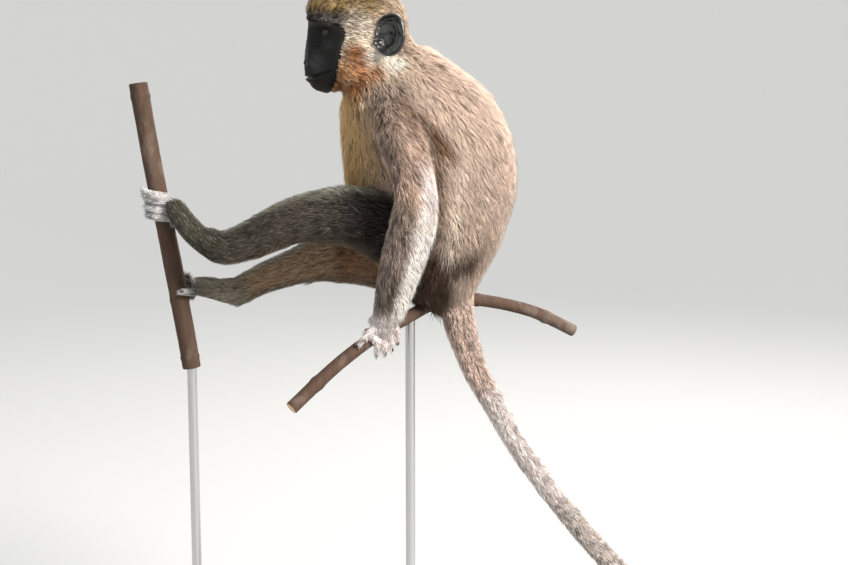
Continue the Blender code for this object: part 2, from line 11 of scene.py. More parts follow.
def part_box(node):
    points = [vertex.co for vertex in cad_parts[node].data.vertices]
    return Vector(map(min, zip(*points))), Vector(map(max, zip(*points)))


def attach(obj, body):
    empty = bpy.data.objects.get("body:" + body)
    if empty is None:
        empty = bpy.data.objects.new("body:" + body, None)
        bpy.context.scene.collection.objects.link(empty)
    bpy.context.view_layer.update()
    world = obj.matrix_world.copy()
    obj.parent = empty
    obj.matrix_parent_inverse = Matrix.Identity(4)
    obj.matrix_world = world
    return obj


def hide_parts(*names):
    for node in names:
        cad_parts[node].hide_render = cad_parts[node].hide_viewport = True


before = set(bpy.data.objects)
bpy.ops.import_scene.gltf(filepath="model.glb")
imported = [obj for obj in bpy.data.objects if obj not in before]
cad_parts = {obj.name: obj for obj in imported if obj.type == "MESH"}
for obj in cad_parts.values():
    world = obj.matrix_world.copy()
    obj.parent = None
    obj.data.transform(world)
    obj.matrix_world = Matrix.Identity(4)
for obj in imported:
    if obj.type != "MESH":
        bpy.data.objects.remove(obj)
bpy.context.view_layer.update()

scene = bpy.context.scene

# ------------------------------------------------------------------ camera
# A still camera on a stand at the height of the monkey's chin, a little over a metre away on its
# left side. It looks down by eight degrees, so the base and the rods' lower ends are out of view.
CAMERA_TILT = math.radians(82)
camera_data = bpy.data.cameras.new("camera")
camera_data.lens = 55.0
camera_data.sensor_width = 36.0
camera = bpy.data.objects.new("camera", camera_data)
camera.location = (-0.033, -1.3339, 0.6875)
camera.rotation_euler = (CAMERA_TILT, 0.0, 0.0)
scene.collection.objects.link(camera)
scene.camera = camera

# ------------------------------------------------------------------ studio
# Seamless pale paper: a flat floor that curves up into a wall all the way round, so that every
# side of the model stands before the same plain ground. Its top is open.
FLOOR_RADIUS = 3.2
COVE_RADIUS = 2.2
WALL_HEIGHT = 5.0
COVE_STEPS = 12


def studio_paper():
    profile = [(0.0, 0.0), (FLOOR_RADIUS, 0.0)]
    for step in range(1, COVE_STEPS + 1):
        turn = math.radians(90 * step / COVE_STEPS)
        reach = FLOOR_RADIUS + COVE_RADIUS * math.sin(turn)
        profile.append((reach, COVE_RADIUS * (1 - math.cos(turn))))
    profile.append((FLOOR_RADIUS + COVE_RADIUS, WALL_HEIGHT))
    bm = bmesh.new()
    line = [bm.verts.new((x, 0.0, z)) for x, z in profile]
    edges = [bm.edges.new(pair) for pair in zip(line, line[1:])]
    bmesh.ops.spin(bm, geom=line + edges, axis=(0, 0, 1), cent=(0, 0, 0), steps=72, angle=2 * math.pi)
    bmesh.ops.remove_doubles(bm, verts=bm.verts, dist=1e-4)
    bmesh.ops.recalc_face_normals(bm, faces=bm.faces)
    mesh = bpy.data.meshes.new("studio_paper")
    bm.to_mesh(mesh)
    bm.free()
    mesh.shade_smooth()
    paper = bpy.data.materials.new("pale_paper")
    paper.use_nodes = True
    shader = paper.node_tree.nodes["Principled BSDF"]
    shader.inputs["Base Color"].default_value = (0.28, 0.28, 0.275, 1.0)
    shader.inputs["Roughness"].default_value = 0.9
    shader.inputs["Emission Color"].default_value = (1.0, 1.0, 0.985, 1.0)
    shader.inputs["Emission Strength"].default_value = 0.40
    mesh.materials.append(paper)
    obj = bpy.data.objects.new("studio_paper", mesh)
    scene.collection.objects.link(obj)


def soft_light(name, place, aim, size, power, colour):
    data = bpy.data.lights.new(name, "AREA")
    data.shape = "DISK"
    data.size = size
    data.energy = power
    data.color = colour
    light = bpy.data.objects.new(name, data)
    light.location = place
    light.rotation_euler = (Vector(aim) - Vector(place)).to_track_quat("-Z", "Y").to_euler()
    scene.collection.objects.link(light)


studio_paper()
chest = (-0.03, 0.0, 0.58)
soft_light("key", (1.55, -1.25, 1.85), chest, 0.9, 150.0, (1.0, 0.955, 0.90))
soft_light("fill", (-1.7, -1.5, 1.1), chest, 1.6, 8.0, (0.93, 0.97, 1.0))
soft_light("rim", (0.6, 1.6, 1.9), chest, 1.0, 46.0, (1.0, 0.98, 0.94))
sky = bpy.data.worlds.new("studio_air")
sky.use_nodes = True
sky.node_tree.nodes["Background"].inputs["Color"].default_value = (0.93, 0.96, 1.0, 1.0)
sky.node_tree.nodes["Background"].inputs["Strength"].default_value = 0.6
scene.world = sky
scene.view_settings.view_transform = "Standard"


# ------------------------------------------------------------------ base board
# The board of the display stand: a flat slab of wood with its edges rounded over, sealed and
# sprayed satin black. Fine brush-wide grain still telegraphs through the paint.
def new_material(name, roughness, metallic=0.0):
    made = bpy.data.materials.new(name)
    made.use_nodes = True
    shader = made.node_tree.nodes["Principled BSDF"]
    shader.inputs["Roughness"].default_value = roughness
    shader.inputs["Metallic"].default_value = metallic
    return made, made.node_tree, shader


def add_node(tree, kind, **settings):
    made = tree.nodes.new(kind)
    for key, value in settings.items():
        setattr(made, key, value)
    return made


def mottle_group():
    """Soft blotches stretched along one axis: a mask from 0 to 1, used by paint, bark and skin."""
    group = bpy.data.node_groups.new("mottle", "ShaderNodeTree")
    for name, start in (("Scale", 60.0), ("Stretch", 1.0), ("Detail", 3.0)):
        socket = group.interface.new_socket(name, in_out="INPUT", socket_type="NodeSocketFloat")
        socket.default_value = start
    group.interface.new_socket("Mask", in_out="OUTPUT", socket_type="NodeSocketFloat")
    given = add_node(group, "NodeGroupInput")
    out = add_node(group, "NodeGroupOutput")
    place = add_node(group, "ShaderNodeTexCoord")
    squeeze = add_node(group, "ShaderNodeCombineXYZ")
    squeeze.inputs["X"].default_value = 1.0
    squeeze.inputs["Y"].default_value = 1.0
    stretched = add_node(group, "ShaderNodeVectorMath", operation="MULTIPLY")
    blotch = add_node(group, "ShaderNodeTexNoise")
    group.links.new(given.outputs["Stretch"], squeeze.inputs["Z"])
    group.links.new(place.outputs["Object"], stretched.inputs[0])
    group.links.new(squeeze.outputs["Vector"], stretched.inputs[1])
    group.links.new(stretched.outputs["Vector"], blotch.inputs["Vector"])
    group.links.new(given.outputs["Scale"], blotch.inputs["Scale"])
    group.links.new(given.outputs["Detail"], blotch.inputs["Detail"])
    group.links.new(blotch.outputs["Fac"], out.inputs["Mask"])
    return group


MOTTLE = mottle_group()


def mottled(tree, scale, stretch=1.0, detail=3.0):
    made = add_node(tree, "ShaderNodeGroup", node_tree=MOTTLE)
    made.inputs["Scale"].default_value = scale
    made.inputs["Stretch"].default_value = stretch
    made.inputs["Detail"].default_value = detail
    return made.outputs["Mask"]


def two_colours(tree, mask, low, high):
    made = add_node(tree, "ShaderNodeMix", data_type="RGBA")
    made.inputs["A"].default_value = (*low, 1.0)
    made.inputs["B"].default_value = (*high, 1.0)
    tree.links.new(mask, made.inputs["Factor"])
    return made.outputs["Result"]


def relief(tree, shader, height, distance, strength=1.0):
    made = add_node(tree, "ShaderNodeBump")
    made.inputs["Strength"].default_value = strength
    made.inputs["Distance"].default_value = distance
    tree.links.new(height, made.inputs["Height"])
    tree.links.new(made.outputs["Normal"], shader.inputs["Normal"])


def tinted(tree, shader, mask, low, high):
    """Base colour between two colours, by a mask."""
    tree.links.new(two_colours(tree, mask, low, high), shader.inputs["Base Color"])


paint, tree, shader = new_material("satin_black_paint", 0.38)
grain = mottled(tree, 18.0, 14.0, 5.0)
tinted(tree, shader, grain, (0.024, 0.024, 0.026), (0.042, 0.041, 0.041))
relief(tree, shader, grain, 0.0004)
shader.inputs["Coat Weight"].default_value = 0.15
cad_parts["stand_base"].data.materials.clear()
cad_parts["stand_base"].data.materials.append(paint)


# ------------------------------------------------------------------ rods
# Two round steel rods, ground and brushed along their length, carry the wood. Each stands in a
# turned collar that is screwed down to the board.
def add_object(name, mesh):
    obj = bpy.data.objects.new(name, mesh)
    scene.collection.objects.link(obj)
    return obj


def mesh_object(name, vertices, faces):
    mesh = bpy.data.meshes.new(name)
    mesh.from_pydata([tuple(v) for v in vertices], [], faces)
    mesh.validate()
    mesh.shade_smooth()
    return add_object(name, mesh)


def ring_faces(first, second, sides, flip=False):
    """Quads between two rings of vertices, given by the rings' first vertices."""
    quads = []
    for k in range(sides):
        beside = (k + 1) % sides
        quads.append((first + k, first + beside, second + beside, second + k))
    return [(a, d, c, b) for a, b, c, d in quads] if flip else quads


def cap_faces(start, hub, sides, flip=False):
    """Triangles from a ring of vertices to its hub."""
    corners = [(start + k, start + (k + 1) % sides, hub) for k in range(sides)]
    return [tuple(reversed(corner)) for corner in corners] if flip else corners


def turned(profile, centre, sides):
    """A closed turned form about an upright axis: rings of a profile, closed by end points."""
    vertices = []
    faces = []
    for radius, height in profile:
        for k in range(sides):
            turn = 2 * math.pi * k / sides
            x = centre[0] + radius * math.cos(turn)
            vertices.append((x, centre[1] + radius * math.sin(turn), height))
    for ring in range(len(profile) - 1):
        faces += ring_faces(ring * sides, (ring + 1) * sides, sides)
    faces.append(tuple(reversed(range(sides))))
    faces.append(tuple(range((len(profile) - 1) * sides, len(profile) * sides)))
    return vertices, faces


steel, tree, shader = new_material("brushed_steel", 0.3, 1.0)
brushing = mottled(tree, 420.0, 0.04, 2.0)
tinted(tree, shader, brushing, (0.46, 0.46, 0.47), (0.62, 0.62, 0.62))
relief(tree, shader, brushing, 0.00005)

ROD_SIDES = 48
COLLAR_RADIUS = 0.0125
COLLAR_HEIGHT = 0.011
SOFT_EDGE = 0.0007
board_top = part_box("stand_base")[1].z
for name in ("stand_rod_stem", "stand_rod_branch"):
    low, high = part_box(name)
    middle_x = (low.x + high.x) / 2
    middle_y = (low.y + high.y) / 2
    radius = (high.x - low.x) / 2
    collar_top = board_top + COLLAR_HEIGHT
    profile = [
        (COLLAR_RADIUS, board_top),
        (COLLAR_RADIUS, collar_top - SOFT_EDGE),
        (COLLAR_RADIUS - SOFT_EDGE, collar_top),
        (radius + SOFT_EDGE, collar_top),
        (radius, collar_top - SOFT_EDGE),
        (radius, collar_top - 2 * SOFT_EDGE),
        (radius, high.z),
    ]
    vertices, faces = turned(profile, (middle_x, middle_y), ROD_SIDES)
    rod = mesh_object(name + "_turned", vertices, faces)
    rod.data.materials.append(steel)
    rod.data.set_sharp_from_angle(angle=math.radians(35))
    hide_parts(name)
    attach(rod, "root")


# ------------------------------------------------------------------ perch
# Two green-cut lengths of forest wood: a leaning stem the thickness of a broom handle and a thin
# bent branch. Thin reddish bark with lengthwise cracks, rings at old leaf joints and small pores;
# both ends are sawn square and show pale wood with growth rings.
STEM_ROUTE = ((-0.3240, 0, 0.705), (-0.3182, 0, 0.665), (-0.3103, 0, 0.615), (-0.3000, 0, 0.557),
              (-0.2900, 0, 0.497), (-0.2818, 0, 0.445), (-0.2765, 0, 0.410))
BRANCH_ROUTE = ((-0.160, -0.124, 0.396), (-0.120, -0.096, 0.430), (-0.084, -0.071, 0.4545),
                (-0.052, -0.036, 0.4680), (-0.019, 0.006, 0.4780), (0.021, 0.034, 0.4770),
                (0.082, 0.058, 0.4610), (0.132, 0.074, 0.4360))
BARK_SIDES = 56
RING_STEP = 0.0013


def along_route(route, share):
    """A point and its direction at a share of a smooth curve through the route's points."""
    at = share * (len(route) - 1)
    i = min(int(at), len(route) - 2)
    t = at - i
    a, b, c, d = (Vector(route[min(max(i + k, 0), len(route) - 1)]) for k in (-1, 0, 1, 2))
    bend = 2 * a - 5 * b + 4 * c - d
    twist = 3 * b - a - 3 * c + d
    point = 0.5 * (2 * b + (c - a) * t + bend * t * t + twist * t**3)
    slope = 0.5 * ((c - a) + 2 * bend * t + 3 * twist * t * t)
    return point, slope.normalized()


def bark_height(share, turn, length, radius, joints, seed):
    """How far the bark stands out from the wood's mean round, in metres."""
    x = math.cos(turn)
    y = math.sin(turn)
    run = share * length
    slow = noise.noise(Vector((x * 1.2, y * 1.2, run * 30 + seed)))
    crack = noise.noise(Vector((x * 5.5, y * 5.5, run * 75 + seed)))
    pore = noise.noise(Vector((x * 16, y * 16, run * 620 + seed)))
    height = radius * (0.035 * slow - 0.030 * max(0.0, 0.25 - abs(crack)) * 4) + 0.00012 * pore
    for place, size in joints:
        height += size * math.exp(-(((share - place) * length / 0.0032) ** 2)) * (0.7 + 0.3 * x)
    return height


def put_values(mesh, name, values):
    """One number for each vertex, for a material to read."""
    mesh.attributes.new(name, "FLOAT", "POINT").data.foreach_set("value", values)


def sawn_wood(name, route, radius, joints, seed):
    length = sum((Vector(b) - Vector(a)).length for a, b in zip(route, route[1:]))
    rings = int(length / RING_STEP)
    vertices = []
    faces = []
    across = Vector((0, 1, 0))
    for n in range(rings + 1):
        share = n / rings
        point, along = along_route(route, share)
        across = (across - along * across.dot(along)).normalized()
        up = along.cross(across)
        edge = min(n, rings - n)
        trim = 0.94 if edge == 0 else 1.0
        for k in range(BARK_SIDES):
            turn = 2 * math.pi * k / BARK_SIDES
            reach = (radius + bark_height(share, turn, length, radius, joints, seed)) * trim
            vertices.append(point + (across * math.cos(turn) + up * math.sin(turn)) * reach)
    for n in range(rings):
        faces += ring_faces(n * BARK_SIDES, (n + 1) * BARK_SIDES, BARK_SIDES)
    bark_faces = len(faces)
    for ring, flip in ((0, True), (rings, False)):
        start = ring * BARK_SIDES
        faces += cap_faces(start, len(vertices), BARK_SIDES, flip)
        vertices.append(sum((vertices[start + k] for k in range(BARK_SIDES)), Vector()) / BARK_SIDES)
    obj = mesh_object(name + "_bark", vertices, faces)
    put_values(obj.data, "from_core", [1.0] * (len(vertices) - 2) + [0.0, 0.0])
    obj.data.materials.append(BARK)
    obj.data.materials.append(SAWN_END)
    for face in obj.data.polygons[bark_faces:]:
        face.material_index = 1
        face.use_smooth = False
    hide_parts(name)
    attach(obj, "root")


BARK, tree, shader = new_material("thin_bark", 0.82)
streak = mottled(tree, 170.0, 0.22, 6.0)
patch = mottled(tree, 34.0, 0.5, 4.0)
base_tone = two_colours(tree, streak, (0.014, 0.0065, 0.0038), (0.085, 0.041, 0.020))
lichen = add_node(tree, "ShaderNodeMapRange")
lichen.inputs["From Min"].default_value = 0.56
lichen.inputs["From Max"].default_value = 0.70
lichen.inputs["To Max"].default_value = 0.75
tree.links.new(patch, lichen.inputs["Value"])
weathered = add_node(tree, "ShaderNodeMix", data_type="RGBA")
weathered.inputs["B"].default_value = (0.15, 0.115, 0.092, 1.0)
tree.links.new(lichen.outputs["Result"], weathered.inputs["Factor"])
tree.links.new(base_tone, weathered.inputs["A"])
tree.links.new(weathered.outputs["Result"], shader.inputs["Base Color"])
relief(tree, shader, mottled(tree, 520.0, 0.4, 5.0), 0.0007)

SAWN_END, tree, shader = new_material("sawn_end", 0.7)
ring_place = add_node(tree, "ShaderNodeAttribute", attribute_name="from_core")
rings_wave = add_node(tree, "ShaderNodeMath", operation="SINE")
ring_count = add_node(tree, "ShaderNodeMath", operation="MULTIPLY")
ring_count.inputs[1].default_value = 34.0
tree.links.new(ring_place.outputs["Fac"], ring_count.inputs[0])
tree.links.new(ring_count.outputs["Value"], rings_wave.inputs[0])
tinted(tree, shader, rings_wave.outputs["Value"], (0.62, 0.46, 0.28), (0.42, 0.28, 0.15))
relief(tree, shader, rings_wave.outputs["Value"], 0.0001)

sawn_wood("perch_stem", STEM_ROUTE, 0.0095, ((0.07, 0.0010), (0.71, 0.0012), (0.93, 0.0010)), 3.0)
sawn_wood("perch_branch", BRANCH_ROUTE, 0.0066, ((0.09, 0.0012), (0.72, 0.0011), (0.90, 0.0013)), 11.0)


# ------------------------------------------------------------------ skin
# One hide over head, body, limbs and tail, with no seam. It lies inside the outline of the coat by
# the depth of the hair and comes up to it where the animal is bare: face, palms and soles. Bare
# skin is black and finely wrinkled, with painted sheen and shade on the face; under the hair it
# carries the same markings as the coat, darkened as painted shade between the tufts.
SKIN_GRAIN = 0.00145  # size of the cells that the hide is first made of
KEPT_SHARE = 0.15  # share of the faces kept, most of them where the form is fine
FACE_CARE = 0.00005  # how much dearer a fold of the face is than the rest when faces are joined
LONGEST_EDGE = 0.0066
COAT_DEPTH = {
    "trunk": 0.0075, "neck": 0.0070, "head": 0.0040, "upper_arm": 0.0045, "forearm": 0.0032,
    "hand": 0.0010, "thigh": 0.0055, "shank": 0.0032, "foot": 0.0016, "tail_root": 0.0045,
    "tail_upper": 0.0032, "tail_lower": 0.0030, "tail_tip": 0.0026,
}
FLESH = sorted(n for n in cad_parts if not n.startswith(("perch_", "stand_", "ear_", "eye_")))
EYE_RADIUS = (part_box("eye_left")[1].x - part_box("eye_left")[0].x) / 2
EYES = {side: sum(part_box("eye_" + side), Vector()) / 2 for side in ("left", "right")}


def points_of(mesh):
    flat = np.empty(len(mesh.vertices) * 3, np.float32)
    mesh.vertices.foreach_get("co", flat)
    return flat.reshape(-1, 3).astype(float)


def edges_of(mesh):
    flat = np.empty(len(mesh.edges) * 2, np.int32)
    mesh.edges.foreach_get("vertices", flat)
    return flat.reshape(-1, 2)


def normals_of(mesh):
    flat = np.empty(len(mesh.vertices) * 3, np.float32)
    mesh.vertex_normals.foreach_get("vector", flat)
    return flat.reshape(-1, 3).astype(float)


def put_points(mesh, points):
    mesh.vertices.foreach_set("co", points.astype(np.float32).ravel())
    mesh.update()


def ramp(value, low, high):
    """0 below low, 1 above high, and a soft rise between them; low may be the greater."""
    t = np.clip((value - low) / (high - low), 0.0, 1.0)
    return t * t * (3 - 2 * t)


def eased(values, edges, rounds, pull=0.5):
    """Each point's values drawn towards the mean of its neighbours'."""
    first, second = edges.T
    count = np.bincount(edges.ravel(), minlength=len(values))
    count = np.maximum(count, 1)[:, None]
    for _ in range(rounds):
        total = np.stack([
            np.bincount(first, column[second], len(values))
            + np.bincount(second, column[first], len(values))
            for column in values.T
        ], axis=1)
        values = values + pull * (total / count - values)
    return values


def eased_form(points, edges, rounds, share=None):
    """Smooths a form without shrinking it, by easing in and then back out."""
    for _ in range(rounds):
        moved = eased(eased(points, edges, 1, 0.5), edges, 1, -0.52)
        points = moved if share is None else points + (moved - points) * share[:, None]
    return points


def unit(vectors):
    return vectors / np.maximum(np.linalg.norm(vectors, axis=-1, keepdims=True), 1e-9)


def baked(obj):
    """The object's mesh with its modifiers applied."""
    graph = bpy.context.evaluated_depsgraph_get()
    mesh = bpy.data.meshes.new_from_object(obj.evaluated_get(graph))
    obj.modifiers.clear()
    old = obj.data
    obj.data = mesh
    bpy.data.meshes.remove(old)
    return mesh


def flesh_form():
    """All flesh and both eyes grown together, and the solid form that tells which part is where."""
    bm = bmesh.new()
    guide_points = []
    guide_faces = []
    guide_part = []
    for name in FLESH + ["eye_left", "eye_right"]:
        piece = bmesh.new()
        piece.from_mesh(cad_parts[name].data)
        bmesh.ops.remove_doubles(piece, verts=piece.verts, dist=1e-6)
        bmesh.ops.recalc_face_normals(piece, faces=piece.faces)
        start = len(guide_points)
        piece.verts.index_update()
        guide_points += [v.co.copy() for v in piece.verts]
        guide_faces += [[start + v.index for v in f.verts] for f in piece.faces]
        guide_part += [name] * len(piece.faces)
        for vert in piece.verts:
            vert.co += vert.normal * 0.0003
        grown = bpy.data.meshes.new("grown")
        piece.to_mesh(grown)
        piece.free()
        bm.from_mesh(grown)
        bpy.data.meshes.remove(grown)
    mesh = bpy.data.meshes.new("hide")
    bm.to_mesh(mesh)
    bm.free()
    return mesh, BVHTree.FromPolygons(guide_points, guide_faces), guide_part


def owners(points, guide, guide_part):
    return np.array([guide_part[guide.find_nearest(Vector(p))[2]] for p in points])


def plain_part(name):
    return name.replace("_left", "").replace("_right", "")


mesh, GUIDE, GUIDE_PART = flesh_form()
hide = add_object("hide", mesh)
melt = hide.modifiers.new("melt", "REMESH")
melt.mode = "VOXEL"
melt.voxel_size = SKIN_GRAIN
mesh = baked(hide)

points = points_of(mesh)
edges = edges_of(mesh)
part = owners(points, GUIDE, GUIDE_PART)
is_paw = np.array([p.startswith(("hand", "foot")) for p in part])
is_head = np.array([p.startswith(("head", "eye")) for p in part])
plain = eased((~(is_paw | is_head)).astype(float)[:, None], edges, 6)[:, 0]
points = eased_form(points, edges, 10, 0.35 + 0.65 * plain)
points = eased_form(points, edges, 70, plain)
points = eased_form(points, edges, 10, is_head.astype(float))
put_points(mesh, points)
smooth_form = BVHTree.FromPolygons([Vector(p) for p in points], [tuple(f.vertices) for f in mesh.polygons])
group = hide.vertex_groups.new(name="plain")
furred = (points[:, 0] > -0.106) | (points[:, 2] < 0.690)
group.add([int(i) for i in np.nonzero(furred)[0]], 1.0, "REPLACE")
thin = hide.modifiers.new("thin", "DECIMATE")
thin.ratio = KEPT_SHARE
thin.vertex_group = "plain"
thin.vertex_group_factor = FACE_CARE
thin.use_collapse_triangulate = True
mesh = baked(hide)


def split_long_edges(mesh, longest, form):
    """Halves edges that are too long to carry markings and lays the new points on the smooth form."""
    bm = bmesh.new()
    bm.from_mesh(mesh)
    for _ in range(4):
        long = [e for e in bm.edges if e.calc_length() > longest]
        bmesh.ops.subdivide_edges(bm, edges=long, cuts=1)
        bmesh.ops.triangulate(bm, faces=[f for f in bm.faces if len(f.verts) > 3])
    for vert in bm.verts:
        vert.co = form.find_nearest(vert.co)[0]
    bm.to_mesh(mesh)
    bm.free()


split_long_edges(mesh, LONGEST_EDGE, smooth_form)


def refined(mesh, wanted):
    """Halves every edge whose two ends are wanted, so that small folds can be modelled."""
    chosen = wanted(points_of(mesh))
    bm = bmesh.new()
    bm.from_mesh(mesh)
    picked = [e for e in bm.edges if chosen[e.verts[0].index] and chosen[e.verts[1].index]]
    bmesh.ops.subdivide_edges(bm, edges=picked, cuts=1, use_grid_fill=True)
    bmesh.ops.triangulate(bm, faces=[f for f in bm.faces if len(f.verts) > 3])
    bm.to_mesh(mesh)
    bm.free()


FACE_REAR = -0.110
FACE_BOTTOM = 0.693
FACE_TOP = 0.779
MUZZLE_FRONT = -0.1425
LID_REACH = 0.0120


def in_face(points):
    return (points[:, 0] < FACE_REAR) & (points[:, 2] > FACE_BOTTOM) & (points[:, 2] < FACE_TOP)


def by_eye_or_nose(points):
    near = np.zeros(len(points), bool)
    for centre in EYES.values():
        near |= np.linalg.norm(points - np.array(centre), axis=1) < LID_REACH
    return near | ((points[:, 0] < MUZZLE_FRONT) & (points[:, 2] > 0.700) & (points[:, 2] < 0.737))


def set_in_by_coat(mesh):
    """Moves the hide inside the coat's outline by the hair's depth at each place."""
    points = points_of(mesh)
    edges = edges_of(mesh)
    part = owners(points, GUIDE, GUIDE_PART)
    depth = np.array([COAT_DEPTH.get(plain_part(p), 0.0) for p in part])
    depth = depth * (1 - bare_face(points))
    depth = eased(depth[:, None], edges, 10)
    put_points(mesh, points - normals_of(mesh) * depth)
    put_points(mesh, eased_form(points_of(mesh), edges, 4, np.clip(depth[:, 0] / 0.004, 0, 1)))


# The bare mask of the face ends on a line down the cheek, here as heights and how far back it goes.
MASK_HEIGHTS = (0.690, 0.698, 0.708, 0.722, 0.735, 0.745, 0.752, 0.757, 0.761, 0.764, 0.767)
MASK_REAR = (-0.131, -0.1265, -0.1215, -0.1185, -0.1160, -0.1130, -0.1110, -0.1122, -0.1175,
             -0.1300, -0.1500)


def bare_face(points):
    rear = np.interp(points[:, 2], MASK_HEIGHTS, MASK_REAR)
    rear = np.where(points[:, 2] > MASK_HEIGHTS[-1], -1.0, rear)
    return ramp(rear - points[:, 0], -0.0015, 0.0020) * (points[:, 2] > FACE_BOTTOM - 0.006)


set_in_by_coat(mesh)
for where, rounds in ((in_face, 12), (by_eye_or_nose, 8)):
    refined(mesh, where)
    points = points_of(mesh)
    put_points(mesh, eased_form(points, edges_of(mesh), rounds, where(points).astype(float)))

# Folds of the face: each line runs over the left cheek and is mirrored. Radius and depth in metres;
# a negative depth is a raised fold.
FOLDS = (
    (((-0.154, 0.000, 0.7106), (-0.151, 0.006, 0.7107), (-0.1435, 0.0125, 0.7118),
      (-0.1345, 0.0170, 0.7142), (-0.1250, 0.0210, 0.7174)), 0.0009, 0.0018),
    (((-0.154, 0.000, 0.7131), (-0.150, 0.007, 0.7133), (-0.1425, 0.0130, 0.7146),
      (-0.1345, 0.0175, 0.7168)), 0.0015, -0.0006),
    (((-0.154, 0.000, 0.7081), (-0.149, 0.006, 0.7083), (-0.1425, 0.0120, 0.7092),
      (-0.1355, 0.0165, 0.7115)), 0.0016, -0.0007),
    (((-0.150, 0.002, 0.7035), (-0.145, 0.008, 0.7040), (-0.139, 0.0125, 0.7055)), 0.0020, 0.0009),
    (((-0.155, 0.0022, 0.7252), (-0.154, 0.0036, 0.7272), (-0.152, 0.0052, 0.7292)), 0.0011, 0.0026),
    (((-0.153, 0.0062, 0.7245), (-0.151, 0.0072, 0.7275), (-0.149, 0.0072, 0.7320)), 0.0012, -0.0008),
    (((-0.151, 0.0088, 0.7250), (-0.149, 0.0096, 0.7290), (-0.146, 0.0092, 0.7340),
      (-0.143, 0.0080, 0.7410)), 0.0021, 0.0009),
    (((-0.154, 0.0000, 0.7235), (-0.154, 0.0000, 0.7140)), 0.0007, 0.0006),
    (((-0.139, 0.0085, 0.7478), (-0.1360, 0.0145, 0.7438), (-0.1300, 0.0205, 0.7440),
      (-0.1235, 0.0245, 0.7480)), 0.0013, 0.0008),
    (((-0.140, 0.0100, 0.7430), (-0.1340, 0.0170, 0.7392), (-0.1270, 0.0225, 0.7395),
      (-0.1195, 0.0265, 0.7440)), 0.0014, 0.0006),
    (((-0.148, 0.0100, 0.7310), (-0.1435, 0.0138, 0.7262), (-0.1375, 0.0172, 0.7218),
      (-0.1310, 0.0200, 0.7195)), 0.0024, 0.0006),
    (((-0.139, 0.0165, 0.7290), (-0.1300, 0.0215, 0.7260), (-0.1215, 0.0250, 0.7235)), 0.0016, 0.0005),
    (((-0.1450, 0.0032, 0.7700), (-0.1445, 0.0030, 0.7630)), 0.0013, 0.0006),
)


def reach_to_line(points, line):
    """Shortest distance from each point to a line of several legs."""
    nearest = np.full(len(points), 1.0)
    for a, b in zip(line, line[1:]):
        a = np.array(a)
        leg = np.array(b) - a
        t = np.clip((points - a) @ leg / max(leg @ leg, 1e-12), 0, 1)
        nearest = np.minimum(nearest, np.linalg.norm(points - a - t[:, None] * leg, axis=1))
    return nearest


def press_folds(mesh):
    points = points_of(mesh)
    normals = normals_of(mesh)
    near = np.nonzero(in_face(points))[0]
    tree = BVHTree.FromPolygons([Vector(p) for p in points], [tuple(f.vertices) for f in mesh.polygons])
    moved = points.copy()
    for line, radius, depth in FOLDS:
        for side in (-1, 1):
            dense = []
            for a, b in zip(line, line[1:]):
                for k in range(5):
                    place = Vector(a).lerp(Vector(b), k / 4)
                    dense.append(np.array(tree.find_nearest(Vector((place.x, side * place.y, place.z)))[0]))
            reach = reach_to_line(points[near], dense)
            half = 0.5 if line[0][1] == 0 and line[-1][1] == 0 else 1.0
            moved[near] -= normals[near] * (half * depth * np.exp(-((reach / radius) ** 2)))[:, None]
    put_points(mesh, moved)


press_folds(mesh)

# Lids: the opening is an almond on the eyeball, wider than high. Inside it the hide dives behind
# the ball; round it stands a thin rounded rim, and a crease runs over the upper lid.
GAZE_OUT = math.radians(35)
LID_THICKNESS = 0.0010
OPEN_WIDE = math.radians(47)
OPEN_UP = math.radians(27)
OPEN_DOWN = math.radians(25)
LID_SPREAD = math.radians(38)
LID_EDGE = math.radians(1.6)
LID_CLEARANCE = 0.00012
ALMOND = 1.6  # 2 would make the opening an ellipse


def gaze_axes(side):
    out = -1.0 if side == "left" else 1.0
    ahead = Vector((-math.cos(GAZE_OUT), out * math.sin(GAZE_OUT), -0.04)).normalized()
    over = (Vector((0, 0, 1)) - ahead * ahead.z).normalized()
    return ahead, over, ahead.cross(over)


def lid_fold(past, at, width, side):
    """A fold that runs round the opening, on the upper lid where side is over 0."""
    return np.exp(-(((past - math.radians(at)) / math.radians(width)) ** 2)) * ramp(side, 0.1, 0.7)


